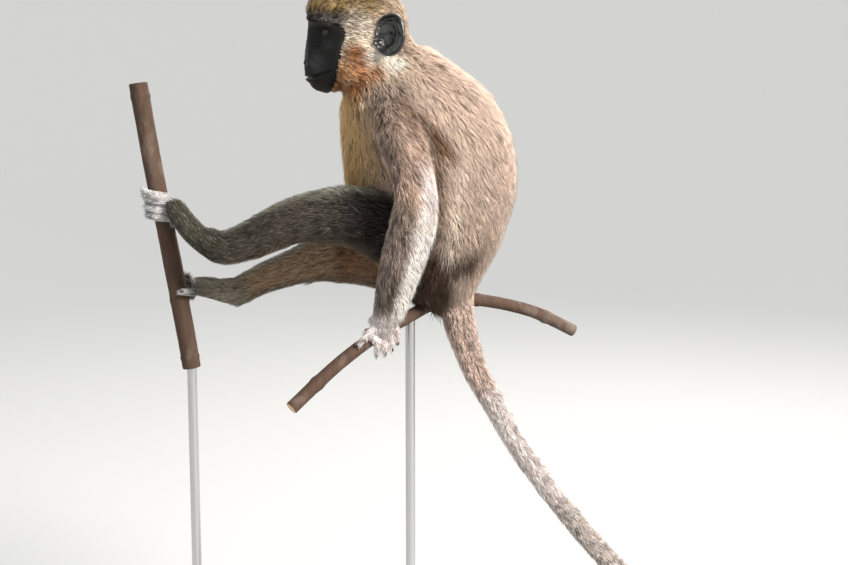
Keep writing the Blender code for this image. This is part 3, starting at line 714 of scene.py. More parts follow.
def open_lids(mesh):
    points = points_of(mesh)
    for side, centre in EYES.items():
        ahead, over, across = (np.array(v) for v in gaze_axes(side))
        offset = points - np.array(centre)
        reach = np.linalg.norm(offset, axis=1)
        near = np.nonzero((reach < LID_REACH) & (offset @ ahead > 0))[0]
        offset = offset[near]
        reach = reach[near]
        facing = offset / reach[:, None]
        away = np.arccos(np.clip(facing @ ahead, -1, 1))
        turn = np.arctan2(facing @ over, facing @ across)
        height = np.where(np.sin(turn) > 0, OPEN_UP, OPEN_DOWN)
        wide_part = (np.abs(np.cos(turn)) / OPEN_WIDE) ** ALMOND
        opening = (wide_part + (np.abs(np.sin(turn)) / height) ** ALMOND) ** (-1 / ALMOND)
        past = away - opening
        rim = EYE_RADIUS + LID_THICKNESS * np.sqrt(np.clip(past / math.radians(7), 0, 1)) + LID_CLEARANCE
        spread = ramp(past, 0.0, LID_SPREAD)
        reach_new = rim * (1 - spread) + np.maximum(reach, rim) * spread
        crease = lid_fold(past, 13, 3.2, np.sin(turn))
        bag = lid_fold(past, 15, 3.5, -np.sin(turn))
        reach_new -= 0.0007 * crease + 0.0005 * bag
        on_edge = np.abs(past) < LID_EDGE
        away = np.where(on_edge, opening, away)
        reach_new = np.where(on_edge, EYE_RADIUS + LID_CLEARANCE, reach_new)
        inside = (past < 0) & ~on_edge
        reach_new = np.where(inside, EYE_RADIUS * 0.80, reach_new)
        spoke = np.cos(turn)[:, None] * across + np.sin(turn)[:, None] * over
        facing = np.cos(away)[:, None] * ahead + np.sin(away)[:, None] * spoke
        points[near] = np.array(centre) + facing * reach_new[:, None]
    put_points(mesh, points)


open_lids(mesh)


# ------------------------------------------------------------------ eyes
# Two glass-clear eyeballs in their sockets: a nearly black pupil, an amber brown iris with fine
# radial fibres and a dark rim, and a brown white of the eye. The cornea bulges a little and is wet.
EYE_RINGS = 48
EYE_SIDES = 64
CORNEA_RISE = 0.00055
CORNEA_SPREAD = math.radians(42)


def eyeball(side):
    ahead, over, across = gaze_axes(side)
    vertices = []
    away_from_pupil = []
    for ring in range(1, EYE_RINGS):
        away = math.pi * ring / EYE_RINGS
        bulge = CORNEA_RISE * max(0.0, 1 - (away / CORNEA_SPREAD) ** 2)
        for k in range(EYE_SIDES):
            turn = 2 * math.pi * k / EYE_SIDES
            spoke = across * math.cos(turn) + over * math.sin(turn)
            facing = ahead * math.cos(away) + spoke * math.sin(away)
            vertices.append(EYES[side] + facing * (EYE_RADIUS + bulge))
            away_from_pupil.append(away / math.pi)
    faces = []
    for ring in range(EYE_RINGS - 2):
        faces += ring_faces(ring * EYE_SIDES, (ring + 1) * EYE_SIDES, EYE_SIDES, True)
    last = (EYE_RINGS - 2) * EYE_SIDES
    poles = ((0, EYE_RADIUS + CORNEA_RISE, 0.0, False), (last, -EYE_RADIUS, 1.0, True))
    for start, reach, share, flip in poles:
        faces += cap_faces(start, len(vertices), EYE_SIDES, flip)
        vertices.append(EYES[side] + ahead * reach)
        away_from_pupil.append(share)
    obj = mesh_object("eyeball_" + side, vertices, faces)
    put_values(obj.data, "from_pupil", away_from_pupil)
    obj.data.materials.append(WET_EYE)
    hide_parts("eye_" + side)
    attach(obj, "root")


WET_EYE, tree, shader = new_material("wet_eye", 0.05)
shader.inputs["IOR"].default_value = 1.38
from_pupil = add_node(tree, "ShaderNodeAttribute", attribute_name="from_pupil")
fibres = mottled(tree, 900.0, 1.0, 2.0)
zones = add_node(tree, "ShaderNodeValToRGB")
stops = ((0.0, (0.003, 0.002, 0.002)), (0.078, (0.003, 0.002, 0.002)), (0.090, (0.013, 0.006, 0.003)),
         (0.150, (0.026, 0.012, 0.005)), (0.205, (0.014, 0.007, 0.004)), (0.225, (0.012, 0.007, 0.005)),
         (0.260, (0.026, 0.017, 0.012)))
ramp_stops = zones.color_ramp.elements
ramp_stops[0].position, ramp_stops[0].color = stops[0][0], (*stops[0][1], 1)
ramp_stops[1].position, ramp_stops[1].color = stops[-1][0], (*stops[-1][1], 1)
for place, colour in stops[1:-1]:
    ramp_stops.new(place).color = (*colour, 1)
tree.links.new(from_pupil.outputs["Fac"], zones.inputs["Fac"])
fibre_tone = add_node(tree, "ShaderNodeMix", data_type="RGBA", blend_type="MULTIPLY")
fibre_tone.inputs["Factor"].default_value = 0.7
tree.links.new(zones.outputs["Color"], fibre_tone.inputs["A"])
tree.links.new(two_colours(tree, fibres, (0.45, 0.45, 0.45), (1.0, 1.0, 1.0)), fibre_tone.inputs["B"])
tree.links.new(fibre_tone.outputs["Result"], shader.inputs["Base Color"])
eyeball("left")
eyeball("right")


# ------------------------------------------------------------------ ears
# Bare, thin, black shells of skin over gristle, round with a squarer top. The rim rolls forward,
# a Y-shaped ridge stands inside it, and a deep bowl opens behind a small flap at the front.
EAR_WIDE = 0.0178
EAR_TALL = 0.0216
EAR_TURN = math.radians(30)
EAR_SIDES = 72
FRONT_RINGS = 28
REAR_RINGS = 9
SHELL = 0.0017
REAR_BULGE = 0.0048
ROOT_SIZE = (0.0092, 0.0070, 0.0122, 1)
EAR_RIDGES = (  # line in shares of the ear's half width and height, thickness, height
    (((-0.10, -0.62), (0.34, -0.38), (0.50, 0.05), (0.30, 0.42)), 0.0017, 0.0026),
    (((0.30, 0.42), (0.42, 0.66)), 0.0014, 0.0018),
    (((0.30, 0.42), (0.02, 0.60), (-0.30, 0.62)), 0.0014, 0.0018),
    (((-0.78, -0.02), (-0.40, 0.02), (-0.08, 0.10)), 0.0014, 0.0022),
    (((-0.86, -0.34), (-0.62, -0.30)), 0.0026, 0.0034),
    (((-0.30, -0.74), (0.05, -0.70)), 0.0022, 0.0020),
)
EAR_HOLLOWS = (  # centre, spread, depth
    ((-0.22, -0.22), 0.0048, 0.0058),
    ((0.10, 0.22), 0.0038, 0.0030),
    ((0.68, 0.10), 0.0026, 0.0016),
)


def ear_outline(turn):
    square = 0.06 * math.cos(4 * (turn - math.radians(45))) * (1 if math.sin(turn) > 0 else 0.3)
    lobe = -0.07 * max(0.0, math.cos(turn - math.radians(250))) ** 3
    peak = 0.06 * max(0.0, math.cos(turn - math.radians(62))) ** 6
    return 1.0 - abs(square) * 0.2 + lobe + peak + square * 0.4


def ear_front(across, up, share, turn):
    """How far the ear's front stands out of its mean plane at a place, in metres."""
    place = np.array([[across * EAR_WIDE, up * EAR_TALL, 0.0]])
    height = -0.0035 * (1 - share * share)
    ridge = 0.0
    for line, thick, rise in EAR_RIDGES:
        legs = [(x * EAR_WIDE, y * EAR_TALL, 0.0) for x, y in line]
        near = math.exp(-float(reach_to_line(place, legs)[0] / thick) ** 2)
        ridge = (ridge**4 + (rise * near) ** 4) ** 0.25
    height += ridge
    for (x, y), spread, deep in EAR_HOLLOWS:
        away = math.hypot((across - x) * EAR_WIDE, (up - y) * EAR_TALL)
        height -= deep * math.exp(-((away / spread) ** 2)) * (1 - share**6)
    rolled = 0.35 + 0.65 * max(0.0, math.sin(turn + math.radians(15)))
    height += 0.0034 * rolled * math.exp(-(((share - 0.93) / 0.055) ** 2))
    height -= 0.0016 * rolled * math.exp(-(((share - 0.79) / 0.06) ** 2))
    return height


def ear_shell(side):
    """Front and back of one ear, as rings from the rim inward on each face."""
    out = -1.0 if side == "left" else 1.0
    low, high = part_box("ear_" + side)
    centre = (low + high) / 2 + Vector((0.0003, out * 0.0012, -0.0002))
    facing = Vector((-math.sin(EAR_TURN), out * math.cos(EAR_TURN), 0.10)).normalized()
    back = Vector((math.cos(EAR_TURN), out * math.sin(EAR_TURN), 0.0))
    up = facing.cross(back) * (-out)
    up = up if up.z > 0 else -up
    vertices = []
    faces = []
    for face, count in (("front", FRONT_RINGS), ("rear", REAR_RINGS)):
        for ring in range(count):
            share = 1 - ring / count
            for k in range(EAR_SIDES):
                turn = 2 * math.pi * k / EAR_SIDES
                edge = ear_outline(turn)
                across = share * edge * math.cos(turn)
                upward = share * edge * math.sin(turn)
                if face == "front":
                    height = ear_front(across, upward, share, turn)
                    if ring == 0:
                        height -= SHELL * 0.3
                else:
                    height = -REAR_BULGE * (1 - share * share) - SHELL * (1.25 if ring else 0.9)
                    across *= 0.985
                    upward *= 0.985
                vertices.append(
                    centre + back * across * EAR_WIDE + up * upward * EAR_TALL + facing * height
                )
    hubs = [len(vertices), len(vertices) + 1]
    vertices.append(centre + facing * ear_front(0.0, 0.0, 0.0, 0.0))
    vertices.append(centre - facing * (REAR_BULGE + SHELL * 1.25))
    rear = FRONT_RINGS * EAR_SIDES
    for ring in range(FRONT_RINGS - 1):
        faces += ring_faces(ring * EAR_SIDES, (ring + 1) * EAR_SIDES, EAR_SIDES)
    for ring in range(REAR_RINGS - 1):
        faces += ring_faces(rear + (ring + 1) * EAR_SIDES, rear + ring * EAR_SIDES, EAR_SIDES)
    faces += ring_faces(rear, 0, EAR_SIDES)
    faces += cap_faces(rear - EAR_SIDES, hubs[0], EAR_SIDES)
    faces += cap_faces(rear + (REAR_RINGS - 1) * EAR_SIDES, hubs[1], EAR_SIDES, True)
    return vertices, faces


def ear_root(side):
    """The thick base by which the ear stands on the skull."""
    out = -1.0 if side == "left" else 1.0
    low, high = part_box("ear_" + side)
    place = (low + high) / 2 + Vector((-0.0005, -out * 0.0105, -0.002))
    bm = bmesh.new()
    shape = Matrix.Translation(place) @ Matrix.Rotation(out * EAR_TURN, 4, "Z") @ Matrix.Diagonal(ROOT_SIZE)
    bmesh.ops.create_uvsphere(bm, u_segments=36, v_segments=24, radius=1.0, matrix=shape)
    bm.verts.index_update()
    vertices = [v.co.copy() for v in bm.verts]
    faces = [tuple(v.index for v in f.verts) for f in bm.faces]
    bm.free()
    return vertices, faces


def add_forms(mesh, forms):
    """Joins further closed forms onto the hide."""
    bm = bmesh.new()
    bm.from_mesh(mesh)
    for vertices, faces in forms:
        made = [bm.verts.new(v) for v in vertices]
        fresh = [bm.faces.new([made[i] for i in face]) for face in faces]
        bmesh.ops.recalc_face_normals(bm, faces=fresh)
    bm.to_mesh(mesh)
    bm.free()


BODY_POINTS = len(mesh.vertices)
ear_forms = [form(side) for side in ("left", "right") for form in (ear_shell, ear_root)]
add_forms(mesh, ear_forms)
ear_ends = BODY_POINTS + np.cumsum([0] + [len(vertices) for vertices, _ in ear_forms])
EAR_ROOT_POINTS = ((int(ear_ends[1]), int(ear_ends[2])), (int(ear_ends[3]), int(ear_ends[4])))
mesh.validate()
mesh.shade_smooth()


# ------------------------------------------------------------------ nails
# Twenty small dark nails, one on each finger and toe: thin domed plates of horn that sit in the
# skin of the digit's end and stand a little beyond it.
NAIL_LENGTH = 0.0052
NAIL_WIDTH = 0.0036
NAIL_DOME = 0.0008
NAIL_AROUND = 16
NAIL_RINGS = 9
LEFT_TOES = ((0.5880, 0.0095), (0.5825, 0.0090), (0.5745, 0.0065), (0.5675, 0.0045))
RIGHT_TOES = ((0.5045, 0.002), (0.4980, 0.001), (0.4905, -0.001), (0.4840, -0.002))
STICK_STEM = 0.0098
STICK_BRANCH = 0.0068


def on_route(route, height):
    """The point on a route's axis at a height."""
    for high, low in zip(route, route[1:]):
        if low[2] <= height:
            return Vector(low).lerp(Vector(high), (height - low[2]) / (high[2] - low[2]))
    return Vector(route[-1])


def gripping_end(centre, axis, start, sweep, reach, shift, radius):
    """Where a digit curled about a stick ends: the point, the way it points and its back."""
    axis = Vector(axis).normalized()
    east = (Vector((1, 0, 0)) - axis * axis.x).normalized()
    north = axis.cross(east)
    angle = math.radians(start + sweep)
    spoke = east * math.cos(angle) + north * math.sin(angle)
    ahead = (north * math.cos(angle) - east * math.sin(angle)) * math.copysign(1, sweep)
    return centre + axis * shift + spoke * reach, ahead, spoke, radius * 0.7


def nail_mesh(ends):
    """All nails as one mesh of flattened domes."""
    vertices = []
    faces = []
    for tip, ahead, back, radius in ends:
        side = ahead.cross(back).normalized()
        size = radius / 0.0033
        middle = tip + back * (radius * 0.62 - 0.0009) + ahead * (radius * 0.45 - 0.0011)
        start = len(vertices)
        for ring in range(1, NAIL_RINGS):
            tilt = math.pi * ring / NAIL_RINGS
            for k in range(NAIL_AROUND):
                turn = 2 * math.pi * k / NAIL_AROUND
                along = math.sin(tilt) * math.cos(turn) * NAIL_LENGTH / 2
                over = math.sin(tilt) * math.sin(turn) * NAIL_WIDTH / 2
                up = math.cos(tilt) * NAIL_DOME - 0.9 * over * over / NAIL_WIDTH - 0.30 * max(0.0, along)
                vertices.append(middle + (ahead * along + side * over + back * up) * size)
        for ring in range(NAIL_RINGS - 2):
            first = start + ring * NAIL_AROUND
            faces += ring_faces(first, first + NAIL_AROUND, NAIL_AROUND, True)
        for ring, up, flip in ((0, 1, False), (NAIL_RINGS - 2, -1, True)):
            faces += cap_faces(start + ring * NAIL_AROUND, len(vertices), NAIL_AROUND, flip)
            vertices.append(middle + back * up * NAIL_DOME * size)
    return vertices, faces


TOE_NAILS = (  # height and lift of each digit, start and sweep in degrees, reach past the stem, radius
    (LEFT_TOES, -38, -122, 0.0058, 0.0047),
    (((0.561, 0.004),), -32, 135, 0.0062, 0.0055),
    (RIGHT_TOES, 38, 80, 0.0052, 0.0045),
    (((0.4885, 0.0035),), 22, -86, 0.0062, 0.0053),
)
ends = [
    gripping_end(on_route(STEM_ROUTE, z), (0, 0, 1), start, sweep, STICK_STEM + past, lift, radius)
    for digits, start, sweep, past, radius in TOE_NAILS
    for z, lift in digits
]
held = Vector(BRANCH_ROUTE[2]).lerp(Vector(BRANCH_ROUTE[3]), 0.22)
branch_way = (Vector(BRANCH_ROUTE[3]) - Vector(BRANCH_ROUTE[1])).normalized()
branch_east = (Vector((1, 0, 0)) - branch_way * branch_way.x).normalized()
branch_north = branch_way.cross(branch_east)
for along, hang in zip((-0.0140, -0.0046, 0.0048, 0.0142), (0.0095, 0.0125, 0.0130, 0.0110)):
    bend = branch_east * math.cos(math.radians(14)) + branch_north * math.sin(math.radians(14))
    spoke = branch_east * math.cos(math.radians(34)) + branch_north * math.sin(math.radians(34))
    middle = held + branch_way * (along - 0.0030) + bend * (STICK_BRANCH + 0.0066)
    tip = held + branch_way * (along - 0.0040) + spoke * (STICK_BRANCH + hang)
    ahead = (tip - middle).normalized()
    ends.append((tip, ahead, (spoke - ahead * spoke.dot(ahead)).normalized(), 0.0030))
thumb_tip = Vector((-0.0965, -0.0890, 0.4520))
ahead = (thumb_tip - Vector((-0.0850, -0.0825, 0.4625))).normalized()
spoke = Vector((0.0, -0.90, 0.43))
ends.append((thumb_tip, ahead, (spoke - ahead * spoke.dot(ahead)).normalized(), 0.0034))
for across, reach in zip((-0.0125, -0.0042, 0.0042, 0.0125), (0.030, 0.034, 0.033, 0.027)):
    last = Vector((-0.1260 - 0.72 * reach, 0.0805 + 1.25 * across, 0.5625))
    tip = Vector((-0.1260 - 0.92 * reach, 0.0805 + 1.30 * across, 0.5530))
    ahead = (tip - last).normalized()
    ends.append((tip, ahead, Vector((0, 1, 0)).cross(ahead) * -1, 0.0035))
thumb_tip = Vector((-0.1240, 0.0560, 0.5650))
ahead = (thumb_tip - Vector((-0.1150, 0.0610, 0.5680))).normalized()
ends.append((thumb_tip, ahead, (Vector((0, 0, 1)) - ahead * ahead.z).normalized(), 0.0036))
HORN, tree, shader = new_material("dark_horn", 0.32)
ridges = mottled(tree, 900.0, 0.5, 2.0)
tinted(tree, shader, ridges, (0.020, 0.016, 0.014), (0.048, 0.040, 0.036))
nails = mesh_object("nails", *nail_mesh(ends))
nails.data.materials.append(HORN)
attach(nails, "root")


# ------------------------------------------------------------------ markings
# A greenish grey-brown back, grizzled golden crown, white cheeks and brow over a black face, cream
# chest and belly, dark grey limbs and a tail that pales to its tip. Hide and hair share them. Light
# and shade are painted in too: shade in the creases by the arm, under the rump and tail, between the
# toes, on the top of the body and on the thighs, and light on the body's rear side, the arms' rear
# edges, the tops of the legs and the tuft below the ear.
TAIL_WAY = (  # the tail's middle line, from its root
    (0.000, 0.000, 0.522), (-0.001, -0.008, 0.492), (0.003, -0.014, 0.462), (0.019, -0.014, 0.413),
    (0.040, -0.012, 0.374), (0.063, -0.008, 0.332), (0.092, -0.004, 0.289), (0.122, 0.000, 0.250),
    (0.157, 0.004, 0.207), (0.200, 0.010, 0.163), (0.250, 0.018, 0.126), (0.302, 0.027, 0.102),
    (0.343, 0.035, 0.094),
)
PART_COLOUR = {
    "trunk": (0.70, 0.55, 0.46), "neck": (0.71, 0.56, 0.415), "head": (0.258, 0.175, 0.073),
    "upper_arm": (0.55, 0.40, 0.32), "forearm": (0.37, 0.29, 0.245), "hand": (0.80, 0.72, 0.71),
    # The thighs are dark grey fur, darkened further with painted shade.
    "thigh": (0.035, 0.029, 0.026), "shank": (0.115, 0.098, 0.080), "foot": (0.085, 0.078, 0.053),
    "tail_root": (0.66, 0.51, 0.44), "tail_upper": (0.80, 0.72, 0.70), "tail_lower": (0.58, 0.52, 0.48),
    "tail_tip": (0.94, 0.86, 0.77), "eye": (0.012, 0.012, 0.011), "ear": (0.028, 0.027, 0.028),
}
CREAM = (0.72, 0.49, 0.24)
BLACK_SKIN = (0.0068, 0.0066, 0.0062)
SPOTS = (  # centre on the right half, spread, colour, strength
    ((-0.0990, 0.036, 0.7590), (0.012, 0.020, 0.014), (0.62, 0.54, 0.45), 1.0),
    ((-0.1050, 0.034, 0.7470), (0.006, 0.016, 0.020), (0.70, 0.60, 0.48), 0.9),
    ((-0.0810, 0.042, 0.7450), (0.008, 0.016, 0.020), (0.48, 0.39, 0.34), 1.0),
    ((-0.0940, 0.038, 0.7440), (0.009, 0.018, 0.008), (0.88, 0.77, 0.62), 0.9),
    ((-0.1010, 0.034, 0.7330), (0.010, 0.018, 0.010), (0.250, 0.082, 0.014), 0.95),
    ((-0.0965, 0.030, 0.7160), (0.011, 0.020, 0.013), (0.38, 0.150, 0.042), 0.9),
    ((-0.0960, 0.020, 0.6985), (0.014, 0.022, 0.012), (0.34, 0.125, 0.036), 0.95),
    ((-0.1115, 0.026, 0.7165), (0.0095, 0.018, 0.010), (0.68, 0.37, 0.165), 1.2),
    ((-0.1190, 0.014, 0.7020), (0.012, 0.016, 0.009), (0.50, 0.245, 0.105), 1.1),
    # Next two spots: the white tuft below the ear, pale fur brightened further with painted light.
    ((-0.0755, 0.038, 0.7310), (0.0105, 0.022, 0.0115), (0.95, 0.88, 0.78), 1.6),
    ((-0.0640, 0.038, 0.7210), (0.0120, 0.024, 0.0090), (0.95, 0.87, 0.77), 1.6),
    ((-0.0785, 0.034, 0.7120), (0.008, 0.020, 0.011), (0.50, 0.25, 0.11), 0.9),
    ((-0.1300, 0.000, 0.7690), (0.030, 0.040, 0.0058), (0.036, 0.037, 0.035), 1.25),
    ((-0.1220, 0.030, 0.7640), (0.011, 0.016, 0.0060), (0.115, 0.108, 0.095), 1.0),
    ((0.0020, 0.066, 0.6030), (0.017, 0.030, 0.022), (0.47, 0.360, 0.300), 0.80),
    ((-0.0600, 0.060, 0.6920), (0.014, 0.030, 0.013), (0.37, 0.285, 0.235), 0.65),
)
# Lines seen from the side, on both halves of the body, are given by x and z.
# Painted shade in the creases by the shoulder, armpit and elbow and between arm and flank, partly over
# darker brown fur; it falls on both halves alike.
CREASE_SHADE_STREAKS = (  # line, reach, colour, strength
    (((-0.0550, 0.6835), (-0.0419, 0.6687), (-0.0272, 0.6522), (-0.0150, 0.6385)),
     0.0082, (0.165, 0.090, 0.048), 0.86),
    (((-0.0240, 0.6560), (-0.0120, 0.6400), (-0.0050, 0.6280)), 0.0052, (0.20, 0.095, 0.045), 0.80),
    (((-0.0215, 0.6400), (-0.0185, 0.6150), (-0.0190, 0.5900), (-0.0200, 0.5550)),
     0.0070, (0.22, 0.140, 0.085), 0.8),
    (((-0.064, 0.640), (-0.052, 0.618)), 0.0085, (0.20, 0.155, 0.125), 0.7),
    (((-0.080, 0.690), (-0.070, 0.662), (-0.062, 0.640)), 0.0115, (0.20, 0.150, 0.120), 0.80),
    (((-0.060, 0.700), (-0.045, 0.690)), 0.0120, (0.36, 0.28, 0.235), 0.55),
)
# Dark red-brown fur under the rump, deepened with painted shade under the seat and along the line under the
# rump.
RUMP_BROWN_AND_SHADE = (0.070, 0.036, 0.021)
PALE_FRINGE = ((0.0040, 0.6180), (0.0015, 0.5950), (-0.0030, 0.5720), (-0.0070, 0.5480), (-0.0110, 0.5300))
RUMP_LINE = ((-0.030, 0.520), (-0.004, 0.522), (0.018, 0.531), (0.034, 0.545))


def nearest_share(points, line):
    """How far along a line each point lies, from 0 to 1."""
    line = np.array(line)
    lengths = np.linalg.norm(np.diff(line, axis=0), axis=1)
    starts = np.concatenate([[0], np.cumsum(lengths)])
    best = np.full(len(points), 9.0)
    along = np.zeros(len(points))
    for k, (a, b) in enumerate(zip(line, line[1:])):
        leg = b - a
        t = np.clip((points - a) @ leg / (leg @ leg), 0, 1)
        reach = np.linalg.norm(points - a - t[:, None] * leg, axis=1)
        closer = reach < best
        best = np.where(closer, reach, best)
        along = np.where(closer, starts[k] + t * lengths[k], along)
    return along / starts[-1]


def painted(colour, new, amount):
    return colour + (np.array(new) - colour) * np.clip(amount, 0, 1)[:, None]


def folded(points):
    """The points of both halves, laid on the right half."""
    return points * (1, 0, 1) + abs(points) * (0, 1, 0)


def by_line(points, line, reach):
    """1 on a line seen from the side, falling to 0 over its reach."""
    in_side_view = reach_to_line(points * (1, 0, 1), [(x, 0.0, z) for x, z in line])
    return np.exp(-((in_side_view / reach) ** 2))


def markings(points, normals, share_of, perch_distance):
    """Colour of the coat at each point of the hide."""
    outward = normals[:, 1] * np.sign(points[:, 1])
    x, y, z = points.T
    colour = sum(share_of[n][:, None] * np.array(c) for n, c in PART_COLOUR.items() if n in share_of)
    limb = share_of["thigh"] + share_of["shank"]
    arm = share_of["upper_arm"] + share_of["forearm"]
    tail = sum(share_of[n] for n in ("tail_root", "tail_upper", "tail_lower", "tail_tip"))
    body = share_of["trunk"] + share_of["neck"]
    front = ramp(-normals[:, 0], 0.25, 0.80) * (1 - ramp(z, 0.655, 0.685) * ramp(abs(y), 0.030, 0.046))
    right = y > 0
    ulnar = np.where(right, normals @ (0.20, 0.50, -0.84), normals[:, 0])
    above_elbow = share_of["upper_arm"] * ramp(z, 0.640, 0.600) * np.where(right, 0.4, 1.0)
    inner = ramp(-outward, 0.05, 0.65)
    washes = (  # colour and where it lies, each over the ones before it
        ((0.66, 0.55, 0.45), share_of["head"] * ramp(z, 0.776, 0.760)),
        ((0.50, 0.38, 0.27), share_of["head"] * ramp(x, -0.088, -0.066)),
        (CREAM, body * front),
        ((0.52, 0.41, 0.32), body * ramp(z, 0.62, 0.56) * 0.7 * (1 - front)),
        # Next line: the rear-facing side of the body painted lighter, partly paler fur and partly painted
        # light.
        ((0.73, 0.57, 0.475), body * ramp(normals[:, 0], 0.2, 0.8) * 0.7),
        # Next line: painted shade that darkens the upward-facing body.
        ((0.50, 0.38, 0.31), body * ramp(normals[:, 2], 0.30, 0.90) * 0.85),
        ((0.46, 0.32, 0.205), share_of["shank"] * inner),
        ((0.34, 0.20, 0.115), share_of["thigh"] * inner),
        ((0.34, 0.30, 0.235), share_of["foot"] * inner),
        ((0.20, 0.16, 0.138), share_of["forearm"] * ramp(z, 0.535, 0.500)),
        ((0.15, 0.115, 0.078), limb * ramp(-normals[:, 2], 0.35, 0.9) * 0.8),
        # Next line: painted light on the upward-facing tops of the legs.
        ((0.290, 0.275, 0.215), limb * ramp(normals[:, 2], 0.50, 0.95) * 0.85),
        ((0.55, 0.44, 0.32), arm * ramp(-outward, 0.15, 0.75)),
        # Next two lines: pale fur on the rear edges of forearm and upper arm, brightened further as a
        # painted highlight.
        ((0.95, 0.88, 0.83), np.clip(share_of["forearm"] * 1.5, 0, 1) * ramp(ulnar, -0.12, 0.32)),
        ((0.93, 0.84, 0.83), above_elbow * ramp(normals[:, 0], -0.1, 0.5)),
    )
    for tone, amount in washes:
        colour = painted(colour, tone, amount)
    # Under the seat and along the line under the rump: dark red-brown fur and painted shade.
    sit = body + 0.4 * share_of["tail_root"] + limb
    under_seat_brown_and_shade = ramp(z, 0.548, 0.530) * ramp(x, 0.000, -0.012) * ramp(x, -0.062, -0.045)
    seam = by_line(points, RUMP_LINE, 0.0092)
    colour = painted(colour, RUMP_BROWN_AND_SHADE, sit * np.maximum(under_seat_brown_and_shade, seam * ramp(normals[:, 0], 0.85, 0.5)))
    # The tail's underside painted darker: painted shade.
    colour = painted(colour, (0.45, 0.34, 0.27), tail * ramp(-normals[:, 2], 0.2, 0.9) * 0.35)
    toes, gap = toes_and_shade_between(points, perch_distance)
    toes = share_of["foot"] * toes
    colour = painted(colour, (0.84, 0.81, 0.82), toes * (0.55 + 0.45 * ramp(normals[:, 2], -0.6, 0.3)))
    # Painted shade in the gaps between the toes.
    colour = painted(colour, (0.075, 0.068, 0.060), toes * gap * 0.85)
    for centre, spread, tone, strength in SPOTS:
        away = np.sum(((folded(points) - centre) / spread) ** 2, axis=1)
        colour = painted(colour, tone, strength * np.exp(-0.8 * away**1.3))
    # Painted shade along the creases by the arm.
    for line, reach, tone, strength in CREASE_SHADE_STREAKS:
        near = by_line(points, line, reach)
        colour = painted(colour, tone, strength * near * ramp(outward, 0.0, 0.5) * (body + 0.7 * arm))
    pale = by_line(points, PALE_FRINGE, 0.0060) * share_of["trunk"] * ramp(outward, 0.2, 0.6)
    colour = painted(colour, (0.86, 0.74, 0.63), 0.65 * pale)
    return np.clip(colour, 0.004, 0.95)


def toes_and_shade_between(points, perch_distance):
    """How far each point is out on the toes round the stem, and how deep it lies between two of them, where
    shade is painted.
    """
    route = np.array(STEM_ROUTE)[::-1]
    stem = np.interp(points[:, 2], route[:, 2], route[:, 0])
    turn = np.degrees(np.arctan2(points[:, 1], points[:, 0] - stem))
    toes = ramp(abs(turn), 16.0, 66.0) * ramp(perch_distance, 0.0205, 0.0112)
    gap = np.zeros(len(points))
    feet = ((LEFT_TOES, -38, -122, 0.560, 0.605), (RIGHT_TOES, 38, 80, 0.475, 0.515))
    for heights, start, sweep, low, high in feet:
        share = np.clip((turn - start) / sweep, 0, 1)
        off = np.min([abs(points[:, 2] - height - lift * share) for height, lift in heights], axis=0)
        here = (points[:, 2] > low) & (points[:, 2] < high) & (turn * start > 0)
        gap = np.maximum(gap, ramp(off, 0.0020, 0.0040) * here)
    return toes, gap


edges = edges_of(mesh)
points = points_of(mesh)
normals = normals_of(mesh)
part = owners(points, GUIDE, GUIDE_PART)
# The inner four fifths of each ear's root are furred like the head, and the rest is bare.
part[BODY_POINTS:] = "ear"
for first, last in EAR_ROOT_POINTS:
    outward = abs(points[first:last, 1])
    part[first:last] = np.where(outward < np.quantile(outward, 0.80), "head", "ear")
plain = np.array([plain_part(p) for p in part])
names = sorted(set(plain))
share = eased(np.stack([(plain == n).astype(float) for n in names], axis=1), edges, 12)
SHARE_OF = {n: share[:, k] for k, n in enumerate(names)}
bare = bare_face(points)
bare = np.maximum(bare, (plain == "eye").astype(float))
bare[BODY_POINTS:] = plain[BODY_POINTS:] == "ear"


def perch_gap(points, limit):
    """Distance to the perch, up to a limit, for points that may be near it."""
    shapes = [BVHTree.FromPolygons([v.co.copy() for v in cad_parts[n].data.vertices],
                                   [tuple(f.vertices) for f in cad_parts[n].data.polygons])
              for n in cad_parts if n.startswith("perch_")]
    gap = np.full(len(points), limit)
    near = [np.array([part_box(n)[k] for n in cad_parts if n.startswith("perch_")]) for k in (0, 1)]
    for low, high in zip(*near):
        inside = np.all((points > low - limit) & (points < high + limit), axis=1)
        for i in np.nonzero(inside)[0]:
            place = Vector(points[i])
            for shape in shapes:
                reach = shape.find_nearest(place, limit)[3]
                if reach is not None:
                    gap[i] = min(gap[i], reach)
    return gap


paw = np.isin(plain, ("hand", "foot", "eye")) & (points[:, 2] < 0.69)
gap = np.full(len(points), 0.02)
gap[paw] = perch_gap(points[paw], 0.02)
skin_marks = markings(points, normals, SHARE_OF, gap)
palm = paw * ramp(gap, 0.0042, 0.0026)
bare = eased(np.maximum(bare, palm)[:, None], edges, 1)[:, 0]
# Under the hair the hide takes the coat's colours darkened, as painted shade between the tufts.
skin_tone = skin_marks * 0.55
skin_tone = painted(skin_tone, BLACK_SKIN, ramp(eased(bare[:, None], edges, 14)[:, 0], 0.01, 0.10))
